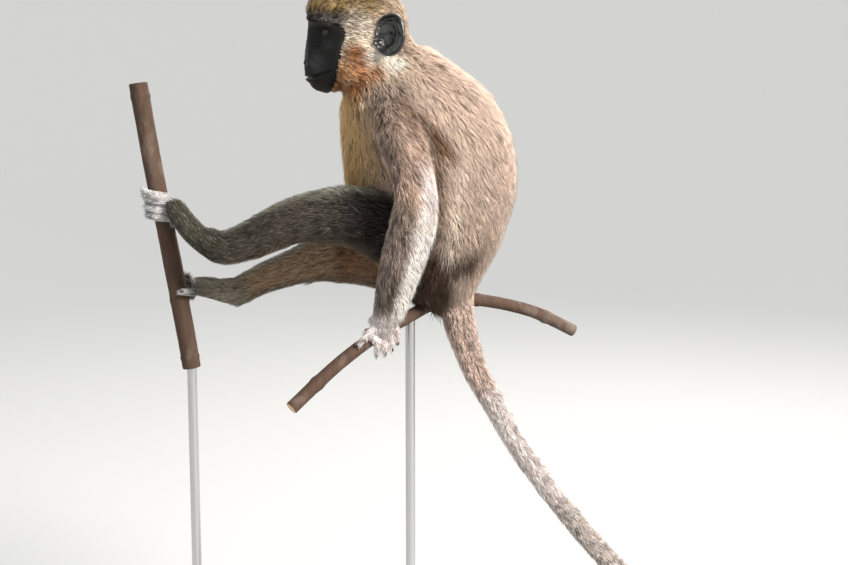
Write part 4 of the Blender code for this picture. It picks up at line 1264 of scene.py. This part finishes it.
# Painted sheen and highlights lighten the black skin on the muzzle's side, under the eye and on the brow
# ridge, painted shade darkens the eye's socket, and one patch lightens the chin.
FACE_SHEEN_AND_SHADE = (  # centre on the right half, spread, colour
    ((-0.1400, 0.014, 0.7245), (0.011, 0.012, 0.0085), (0.021, 0.0215, 0.0225)),
    ((-0.1280, 0.022, 0.7430), (0.008, 0.010, 0.0050), (0.016, 0.016, 0.0165)),
    ((-0.1400, 0.012, 0.7640), (0.010, 0.014, 0.0028), (0.017, 0.017, 0.0165)),
    ((-0.1360, 0.012, 0.7000), (0.010, 0.012, 0.0040), (0.015, 0.014, 0.0135)),
    ((-0.1310, 0.018, 0.7555), (0.008, 0.009, 0.0060), (0.0025, 0.0025, 0.0025)),
)
for centre, spread, tone in FACE_SHEEN_AND_SHADE:
    away = np.sum(((folded(points) - centre) / spread) ** 2, axis=1)
    skin_tone = painted(skin_tone, tone, np.exp(-0.8 * away) * (bare > 0.3))
x, y, z = points.T
bare_head = bare * (plain == "head")
lip = bare_head * ramp(abs(z - 0.7103), 0.0020, 0.0009) * ramp(x, -0.1445, -0.1465)
skin_tone = painted(skin_tone, (0.13, 0.070, 0.060), lip * 0.55)
# A painted grey sheen along the bridge of the nose.
nose_bridge_sheen = bare_head * np.exp(-((y / 0.007) ** 2)) * ramp(z, 0.725, 0.745)
skin_tone = painted(skin_tone, (0.016, 0.018, 0.018), nose_bridge_sheen * 0.8)


# ------------------------------------------------------------------ coat
# Hair in tapering tufts, each a thin closed spike, rooted in the hide and laid along the body.
# Tips draw together into locks. It is longest on the flanks and cheeks and shortest on the paws;
# the face, ears, palms and soles are bare.
COAT = {  # how thickly the tufts stand against other parts, their length and width in metres
    "trunk": (60, 0.0205, 0.00064), "neck": (62, 0.0165, 0.00060), "head": (100, 0.0092, 0.00050),
    "upper_arm": (64, 0.0150, 0.00056), "forearm": (66, 0.0120, 0.00054), "hand": (80, 0.0062, 0.00048),
    "thigh": (52, 0.0150, 0.00060), "shank": (54, 0.0118, 0.00056), "foot": (84, 0.0078, 0.00050),
    "tail_root": (60, 0.0120, 0.00058), "tail_upper": (64, 0.0090, 0.00052),
    "tail_lower": (64, 0.0082, 0.00056), "tail_tip": (72, 0.0078, 0.00052), "eye": (0, 0.004, 0.0004),
    "ear": (0, 0.004, 0.0004),
}
LIE = {  # the way the hair points
    "trunk": (0.42, 0.0, -0.90), "neck": (0.60, 0.0, -0.80), "head": (0.9, 0.0, -0.40),
    "upper_arm_left": (0.50, -0.16, -0.85), "upper_arm_right": (0.62, 0.20, -0.76),
    "forearm_left": (0.18, 0.05, -1.0), "forearm_right": (-0.93, -0.12, -0.34),
    "hand_left": (-0.10, 0.05, -1.0), "hand_right": (-0.97, 0.0, -0.20),
    "thigh_left": (-0.85, -0.18, 0.20), "thigh_right": (-0.95, 0.22, 0.05),
    "shank_left": (-0.96, 0.12, -0.24), "shank_right": (-0.96, -0.20, -0.24),
    "foot_left": (-0.55, 0.05, 0.83), "foot_right": (-1.0, 0.05, 0.10),
    "eye_left": (0.9, 0.0, -0.2), "eye_right": (0.9, 0.0, -0.2), "ear": (0.9, 0.0, -0.2),
    "tail_root": (0.0, 0.0, -1.0), "tail_upper": (0.0, 0.0, -1.0),
    "tail_lower": (0.5, 0.0, -0.5), "tail_tip": (1.0, 0.0, 0.0),
}
COAT_TRIANGLES = 1_440_000
PER_TUFT = 10
LOWER_SHARE = 0.45  # how far up a tuft bends, as a share of its length
STRAY_REACH = 0.0048  # how far a tuft may stand clear of the outline
rng = np.random.default_rng(20)


def each(across, along_x, along_z):
    """A vector for each point, from its sideways part and two numbers."""
    return np.concatenate([np.full_like(across, along_x), across, np.full_like(across, along_z)], axis=1)


def turned_to(way, new, amount):
    """Turns the vectors towards new ones by an amount from 0 to 1 at each point."""
    return way * (1 - amount[:, None]) + np.array(new) * amount[:, None]


def along_skin(way, normals):
    return way - normals * np.sum(way * normals, axis=1, keepdims=True)


def lie_of_coat(points, normals, part, edges):
    """Unit vectors along which the hair lies at each point of the hide."""
    x, y, z = points.T
    kind = part.astype(str)
    way = np.array([LIE[p] for p in part], float)
    tail = np.char.startswith(kind, "tail")
    route = np.array(TAIL_WAY)
    legs = unit(np.diff(route, axis=0))
    along = nearest_share(points[tail], TAIL_WAY) * (len(route) - 1)
    lengths = np.linalg.norm(np.diff(route, axis=0), axis=1)
    starts = np.concatenate([[0], np.cumsum(lengths)]) / lengths.sum()
    which = np.clip(np.searchsorted(starts, along / (len(route) - 1)) - 1, 0, len(legs) - 1)
    way[tail] = legs[which]
    head = np.char.startswith(kind, "head") | np.char.startswith(kind, "eye")
    side = np.sign(points[:, 1:2])
    nape = ramp(x, -0.085, -0.060)
    head_way = each(0.35 * side, 0.90, -0.28)
    head_way = turned_to(head_way, each(0.25 * side, 1.0, 0.10), ramp(z, 0.755, 0.775))
    brow = ramp(z, 0.758, 0.766) * ramp(x, -0.118, -0.128)
    head_way = turned_to(head_way, each(0.35 * side, 0.55, 0.80), brow)
    head_way = turned_to(head_way, (0.55, 0.0, -0.80), nape)
    head_way = turned_to(head_way, (0.75, 0.0, -0.55), ramp(z, 0.712, 0.700) * (1 - nape))
    way[head] = head_way[head]
    fringe = np.char.startswith(kind, "forearm_left") * ramp(normals[:, 0], 0.0, 0.5)
    way = turned_to(way, (0.60, -0.10, -0.80), fringe)
    way = turned_to(way, (0.05, 0.0, -1.0), ramp(z, 0.60, 0.55) * SHARE_OF["trunk"] * 0.7)
    foot = np.char.startswith(kind, "foot") & (gap < 0.014)
    stem_x, stem_y, stem_z = np.array(STEM_ROUTE[::-1]).T
    turn = np.arctan2(y - np.interp(z, stem_z, stem_y), x - np.interp(z, stem_z, stem_x))
    left_way = np.where(turn < math.radians(-35), -1, 1)
    right_way = np.where(turn > math.radians(30), 1, -1)
    onward = np.where(np.char.endswith(kind, "left"), left_way, right_way)
    round_stem = np.stack([-np.sin(turn) * onward, np.cos(turn) * onward, np.zeros(len(turn))], axis=1)
    way[foot] = round_stem[foot]
    way = eased(unit(way), edges, 44)
    way[foot] = round_stem[foot]
    way = eased(unit(along_skin(way, normals)), edges, 6)
    return unit(along_skin(way, normals))


def corners_of(mesh):
    mesh.calc_loop_triangles()
    flat = np.empty(len(mesh.loop_triangles) * 3, np.int32)
    mesh.loop_triangles.foreach_get("vertices", flat)
    return flat.reshape(-1, 3)


def areas(points, corners):
    a, b, c = (points[corners[:, k]] for k in range(3))
    return np.linalg.norm(np.cross(b - a, c - a), axis=1) / 2


def spread_roots(expected):
    """Roots strewn over the hide's triangles: which triangle, and where on it."""
    count = np.floor(expected + rng.random(len(expected))).astype(int)
    which = np.repeat(np.arange(len(corners)), count)
    u = rng.random(len(which))
    v = rng.random(len(which))
    over = u + v > 1
    u = np.where(over, 1 - u, u)
    v = np.where(over, 1 - v, v)
    return which, np.stack([1 - u - v, u, v], axis=1)


def at_roots(values, corners, which, mix):
    picked = values[corners[which]]
    return np.sum(picked * (mix if picked.ndim == 2 else mix[:, :, None]), axis=1)


def drawn_into_locks(roots, middles, tips, spacing, pull):
    """Tips lean towards their lock's own tip."""
    leaders = np.nonzero(rng.random(len(roots)) < 1.0 / np.maximum(spacing, 1))[0]
    tree = KDTree(len(leaders))
    for k, i in enumerate(leaders):
        tree.insert(Vector(roots[i]), k)
    tree.balance()
    nearest = np.array([tree.find(Vector(p))[1] for p in roots])
    leader = leaders[nearest]
    tips += (tips[leader] - tips) * pull[:, None]
    middles += (middles[leader] - middles) * (pull * 0.45)[:, None]
    return leader


corners = corners_of(mesh)
lie = lie_of_coat(points, normals, part, edges)
measures = np.array([COAT[p] for p in plain])
measures = eased(measures, edges, 6)
depth_here = eased(np.array([COAT_DEPTH.get(p, 0.0005) for p in plain])[:, None], edges, 8)[:, 0]
length = measures[:, 1]
cheek = np.exp(-np.sum(((folded(points) - (-0.090, 0.036, 0.733)) / (0.018, 0.02, 0.022)) ** 2, axis=1))
flank = SHARE_OF["trunk"] * ramp(points[:, 2], 0.585, 0.545) * ramp(abs(normals[:, 1]), 0.2, 0.7)
forearm_rear = SHARE_OF["forearm"] * ramp(normals[:, 0], 0.1, 0.6)
length = length * (1 + 0.35 * cheek * SHARE_OF["head"] + 0.35 * flank + 0.55 * forearm_rear)
leg = SHARE_OF["thigh"] + SHARE_OF["shank"] + SHARE_OF["foot"]
stick_out = 0.42 * forearm_rear + 0.12 * leg * ramp(normals[:, 2], 0.2, 0.8)
near_mask = eased(bare_face(points)[:, None], edges, 10)[:, 0]
on_head = SHARE_OF["head"] > 0.3
length = length * (1 - 0.60 * np.clip(near_mask * 2.0, 0, 1) * on_head)
density = measures[:, 0] * (1 - ramp(bare, 0.30, 0.75)) * (1 + np.clip(near_mask * 3, 0, 1) * on_head)
expected = areas(points, corners) * np.mean(density[corners], axis=1)
which, mix = spread_roots(expected * COAT_TRIANGLES / PER_TUFT / np.sum(expected))
ear_tree = BVHTree.FromPolygons([Vector(p) for p in points[BODY_POINTS:]],
                                [tuple(v - BODY_POINTS for v in f.vertices) for f in mesh.polygons
                                 if min(f.vertices) >= BODY_POINTS])


def inside_ear(place):
    spot, facing, _, _ = ear_tree.find_nearest(Vector(place), 0.012)
    return spot is not None and (Vector(place) - spot).dot(facing) < -0.0002


root = at_roots(points, corners, which, mix)
ear_middles = [np.array(sum(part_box("ear_" + s), Vector()) / 2) for s in ("left", "right")]
from_ear = np.min([np.linalg.norm(root - middle, axis=1) for middle in ear_middles], axis=0)
hidden = [i for i in np.nonzero(from_ear < 0.032)[0] if inside_ear(root[i])]
which = np.delete(which, hidden)
mix = np.delete(mix, hidden, axis=0)
root = at_roots(points, corners, which, mix)
normal = unit(at_roots(unit(eased(normals, edges, 3)), corners, which, mix))
way = unit(along_skin(at_roots(lie, corners, which, mix), normal))
long = at_roots(length, corners, which, mix)
wide = at_roots(measures[:, 2], corners, which, mix)
deep = at_roots(depth_here, corners, which, mix)
out_more = at_roots(stick_out, corners, which, mix)
by_perch = at_roots(gap, corners, which, mix)
# A tuft shows the mark that lies nearly half its length further on than its root.
share_there = {n: at_roots(SHARE_OF[n], corners, which, mix) for n in names}
tone = markings(root + way * (long * LOWER_SHARE)[:, None], normal, share_there, by_perch)
tuft_part = part[corners[which, 0]]
tuft_plain = plain[corners[which, 0]]
TUFTS = len(which)

# One tuft: a flat-bottomed spike of three corners at the root, three at its bend and a point.
across = np.cross(normal, way)
yaw = rng.normal(0, 0.17, TUFTS)
way = way * np.cos(yaw)[:, None] + across * np.sin(yaw)[:, None]
across = np.cross(normal, way)
long = long * rng.uniform(0.72, 1.18, TUFTS)
rise = np.arcsin(np.clip(deep / np.maximum(long, 1e-4) * 0.95, 0.06, 0.75))
rise = rise * rng.uniform(0.60, 1.55, TUFTS) + out_more
steep = np.clip(rise * 1.45, 0.10, 1.1)
shallow = np.clip(rise * 0.50, 0.02, 0.6)
first = way * np.cos(steep)[:, None] + normal * np.sin(steep)[:, None]
second = way * np.cos(shallow)[:, None] + normal * np.sin(shallow)[:, None]
wave = across * (rng.normal(0, 0.06, TUFTS) * long)[:, None]
middle = root + first * (long * LOWER_SHARE)[:, None] + wave
tip = middle + second * (long * (1 - LOWER_SHARE))[:, None] - wave * 1.4
# A tuft whose point would stand clear of the coat's outline is left out.
stray = np.zeros(TUFTS, bool)
for i, place in enumerate(tip):
    spot, facing, _, reach = GUIDE.find_nearest(Vector(place))
    stray[i] = reach > STRAY_REACH + 0.006 * out_more[i] and (Vector(place) - spot).dot(facing) > 0
spacing = np.where(np.isin(tuft_plain, ("hand", "foot")), 5, 7)
lock_pull = rng.uniform(0.10, 0.46, TUFTS)
leader = drawn_into_locks(root, middle, tip, spacing, lock_pull)

# Hair is banded: dark at the root, full colour at the bend and paler at the tip, with a share of
# dark-tipped tufts that grizzle the coat.
GRIZZLE = {  # share of dark tufts, spread of brightness
    "head": (0.34, 0.20), "neck": (0.08, 0.10), "trunk": (0.07, 0.09), "upper_arm": (0.30, 0.20),
    "forearm": (0.34, 0.24), "hand": (0.16, 0.16), "thigh": (0.16, 0.14), "shank": (0.16, 0.14),
    "foot": (0.14, 0.16), "tail_root": (0.26, 0.16), "tail_upper": (0.26, 0.16),
    "tail_lower": (0.24, 0.15), "tail_tip": (0.08, 0.10), "eye": (0.1, 0.1), "ear": (0.1, 0.1),
}
grizzle = np.array([GRIZZLE[p] for p in tuft_plain])
even_when_pale = np.isin(tuft_plain, ("forearm", "upper_arm", "head"))
grizzle *= (1 - 0.8 * np.clip((tone.mean(axis=1) - 0.55) / 0.2, 0, 1) * even_when_pale)[:, None]
lock_tone = 1 + (grizzle[:, 1] * rng.normal(0, 1, TUFTS))[leader]
own_tone = 1 + grizzle[:, 1] * 0.8 * rng.normal(0, 1, TUFTS)
light = np.clip(lock_tone * own_tone, 0.40, 1.8)[:, None]
dark = ((rng.random(TUFTS)[leader] < grizzle[:, 0]) & (rng.random(TUFTS) < 0.75))[:, None]
silvery = np.where(tuft_plain == "foot", 0.06 + 0.6 * ramp(by_perch, 0.016, 0.011), 0.05)
silvery = np.where(tuft_plain == "hand", 0.45, silvery)
silver = (rng.random(TUFTS) < silvery * (1 - 0.8 * (tuft_plain == "thigh")))[:, None]
root_tone = tone * (0.72, 0.66, 0.60) * light
bend_tone = np.where(dark, tone * 0.40, tone * 0.97) * light
tip_tone = np.where(dark, tone * 0.45, tone * 1.18) * light
tip_tone = np.where(silver, np.maximum(tip_tone, 0.42 + 0.5 * tone), tip_tone)
silver_paw = silver & np.isin(tuft_plain, ("hand", "foot"))[:, None]
bend_tone = np.where(silver_paw, np.maximum(bend_tone, 0.30), bend_tone)


def tuft_vertices(pick):
    """Seven vertices for each chosen tuft, in one array."""
    half = (wide[pick] / 2)[:, None]
    side = across[pick]
    top = normal[pick]
    base = root[pick] - top * 0.0004
    bend = middle[pick]
    return np.stack([
        base - side * half, base + side * half, base + top * half * 0.9,
        bend - side * half * 0.80, bend + side * half * 0.80, bend + top * half * 0.75,
        tip[pick],
    ], axis=1)


TUFT_FACES = np.array([
    (0, 2, 1),
    (0, 1, 4), (0, 4, 3), (1, 2, 5), (1, 5, 4), (2, 0, 3), (2, 3, 5),
    (3, 4, 6), (4, 5, 6), (5, 3, 6),
])
PATCH = 0.003
TUFT_PATCH = PATCH * np.array([
    (-0.5, -0.5), (0.5, -0.5), (0.0, -0.5), (-0.4, 0.0), (0.4, 0.0), (0.0, 0.0), (0.0, 0.5),
])


def unwrapped(faces):
    """An unwrap of a region of the hide, as one place per triangle corner."""
    used, inverse = np.unique(faces, return_inverse=True)
    region = bpy.data.meshes.new("region")
    region.from_pydata(points[used].tolist(), [], inverse.reshape(-1, 3).tolist())
    region.update()
    obj = add_object("region", region)
    bpy.context.view_layer.objects.active = obj
    obj.select_set(True)
    bpy.ops.object.mode_set(mode="EDIT")
    bpy.ops.mesh.select_all(action="SELECT")
    bpy.ops.uv.smart_project(angle_limit=math.radians(66), island_margin=0.004)
    bpy.ops.object.mode_set(mode="OBJECT")
    flat = np.empty(len(region.loops) * 2, np.float32)
    region.uv_layers.active.data.foreach_get("uv", flat)
    bpy.data.objects.remove(obj)
    bpy.data.meshes.remove(region)
    return flat.reshape(-1, 3, 2)


def put_tones(mesh, tones):
    """One colour for each vertex."""
    opaque = np.concatenate([tones, np.ones((len(tones), 1))], axis=1)
    colour = mesh.color_attributes.new("coat", "FLOAT_COLOR", "POINT")
    colour.data.foreach_set("color", opaque.astype(np.float32).ravel())


def coat_piece(name, pick):
    """One piece of the coat from the chosen tufts, with its colours and its bake map."""
    count = len(pick)
    verts = tuft_vertices(pick).reshape(-1, 3)
    faces = (TUFT_FACES[None] + 7 * np.arange(count)[:, None, None]).reshape(-1, 3)
    mesh = bpy.data.meshes.new(name)
    mesh.vertices.add(len(verts))
    mesh.vertices.foreach_set("co", verts.astype(np.float32).ravel())
    mesh.loops.add(len(faces) * 3)
    mesh.loops.foreach_set("vertex_index", faces.astype(np.int32).ravel())
    mesh.polygons.add(len(faces))
    mesh.polygons.foreach_set("loop_start", np.arange(0, len(faces) * 3, 3, dtype=np.int32))
    mesh.update(calc_edges=True)
    tones = np.stack([root_tone[pick]] * 3 + [bend_tone[pick]] * 3 + [tip_tone[pick]], axis=1)
    put_tones(mesh, np.clip(tones, 0.003, 0.95).reshape(-1, 3))
    triangles, inverse = np.unique(which[pick], return_inverse=True)
    home = np.sum(unwrapped(corners[triangles])[inverse] * mix[pick][:, :, None], axis=1)
    spots = np.clip((home[:, None, :] + TUFT_PATCH[None]).reshape(-1, 2), 0.0005, 0.9995)
    uv = mesh.uv_layers.new(name="OFBake")
    uv.data.foreach_set("uv", spots[faces.ravel()].astype(np.float32).ravel())
    mesh.shade_smooth()
    mesh.materials.append(HAIR)
    obj = add_object(name, mesh)
    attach(obj, "root")


def coat_material(name, roughness):
    material, tree, shader = new_material(name, roughness)
    tone = add_node(tree, "ShaderNodeAttribute", attribute_name="coat")
    mix_node = add_node(tree, "ShaderNodeMix", data_type="RGBA", blend_type="MULTIPLY")
    mix_node.inputs["Factor"].default_value = 1.0
    streaks = mottled(tree, 240.0, 1.0, 3.0)
    tree.links.new(tone.outputs["Color"], mix_node.inputs["A"])
    tree.links.new(two_colours(tree, streaks, (0.84, 0.84, 0.84), (1.12, 1.12, 1.12)), mix_node.inputs["B"])
    tree.links.new(mix_node.outputs["Result"], shader.inputs["Base Color"])
    shader.inputs["Specular IOR Level"].default_value = 0.22
    return material, tree, shader


HAIR, tree, shader = coat_material("hair", 0.58)
ARM = np.isin(tuft_plain, ("upper_arm", "forearm", "hand"))
LEG = np.isin(tuft_plain, ("thigh", "shank", "foot"))
LEFT = np.char.endswith(tuft_part.astype(str), "left")
TRUNK = tuft_plain == "trunk"
NEAR = root[:, 1] < 0
HIGH = root[:, 2] > 0.60
REGIONS = (
    ("coat_head", np.isin(tuft_plain, ("head", "eye"))),
    ("coat_neck", tuft_plain == "neck"),
    ("coat_arm_left", ARM & LEFT),
    ("coat_arm_right", ARM & ~LEFT),
    ("coat_leg_left", LEG & LEFT),
    ("coat_leg_right", LEG & ~LEFT),
    ("coat_tail", np.char.startswith(tuft_plain.astype(str), "tail")),
    ("coat_back_left", TRUNK & NEAR & HIGH),
    ("coat_back_right", TRUNK & ~NEAR & HIGH),
    ("coat_loin_left", TRUNK & NEAR & ~HIGH),
    ("coat_loin_right", TRUNK & ~NEAR & ~HIGH),
)
for name, chosen in REGIONS:
    pick = np.nonzero(chosen & ~stray)[0]
    coat_piece(name, pick[np.argsort(root[pick, 2], kind="stable")])

# The hide takes the same colours, darkened as painted shade under the hair, and black where it is bare.
put_tones(mesh, skin_tone)
put_values(mesh, "bare", bare.astype(np.float32))
ear_front_side = (plain == "ear") * ramp(normals[:, 1] * np.sign(points[:, 1]), -0.1, 0.3)
gloss = ear_front_side + 0.6 * lip + 0.5 * bare * (points[:, 0] < -0.150) * (points[:, 2] > 0.722)
put_values(mesh, "gloss", np.clip(gloss, 0, 1).astype(np.float32))
SKIN, tree, shader = coat_material("hide", 0.62)
bare_at = add_node(tree, "ShaderNodeAttribute", attribute_name="bare")
shine_at = add_node(tree, "ShaderNodeAttribute", attribute_name="gloss")
for socket, dull, glossy in (("Roughness", 0.60, 0.33), ("Specular IOR Level", 0.17, 0.75)):
    by_gloss = add_node(tree, "ShaderNodeMapRange")
    by_gloss.inputs["To Min"].default_value = dull
    by_gloss.inputs["To Max"].default_value = glossy
    tree.links.new(shine_at.outputs["Fac"], by_gloss.inputs["Value"])
    tree.links.new(by_gloss.outputs["Result"], shader.inputs[socket])
wrinkles = add_node(tree, "ShaderNodeMath", operation="MULTIPLY")
tree.links.new(mottled(tree, 620.0, 0.55, 4.0), wrinkles.inputs[0])
tree.links.new(bare_at.outputs["Fac"], wrinkles.inputs[1])
relief(tree, shader, wrinkles.outputs["Value"], 0.0006, 0.7)
mesh.materials.clear()
mesh.materials.append(SKIN)
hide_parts(*FLESH, "ear_left", "ear_right")
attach(hide, "root")
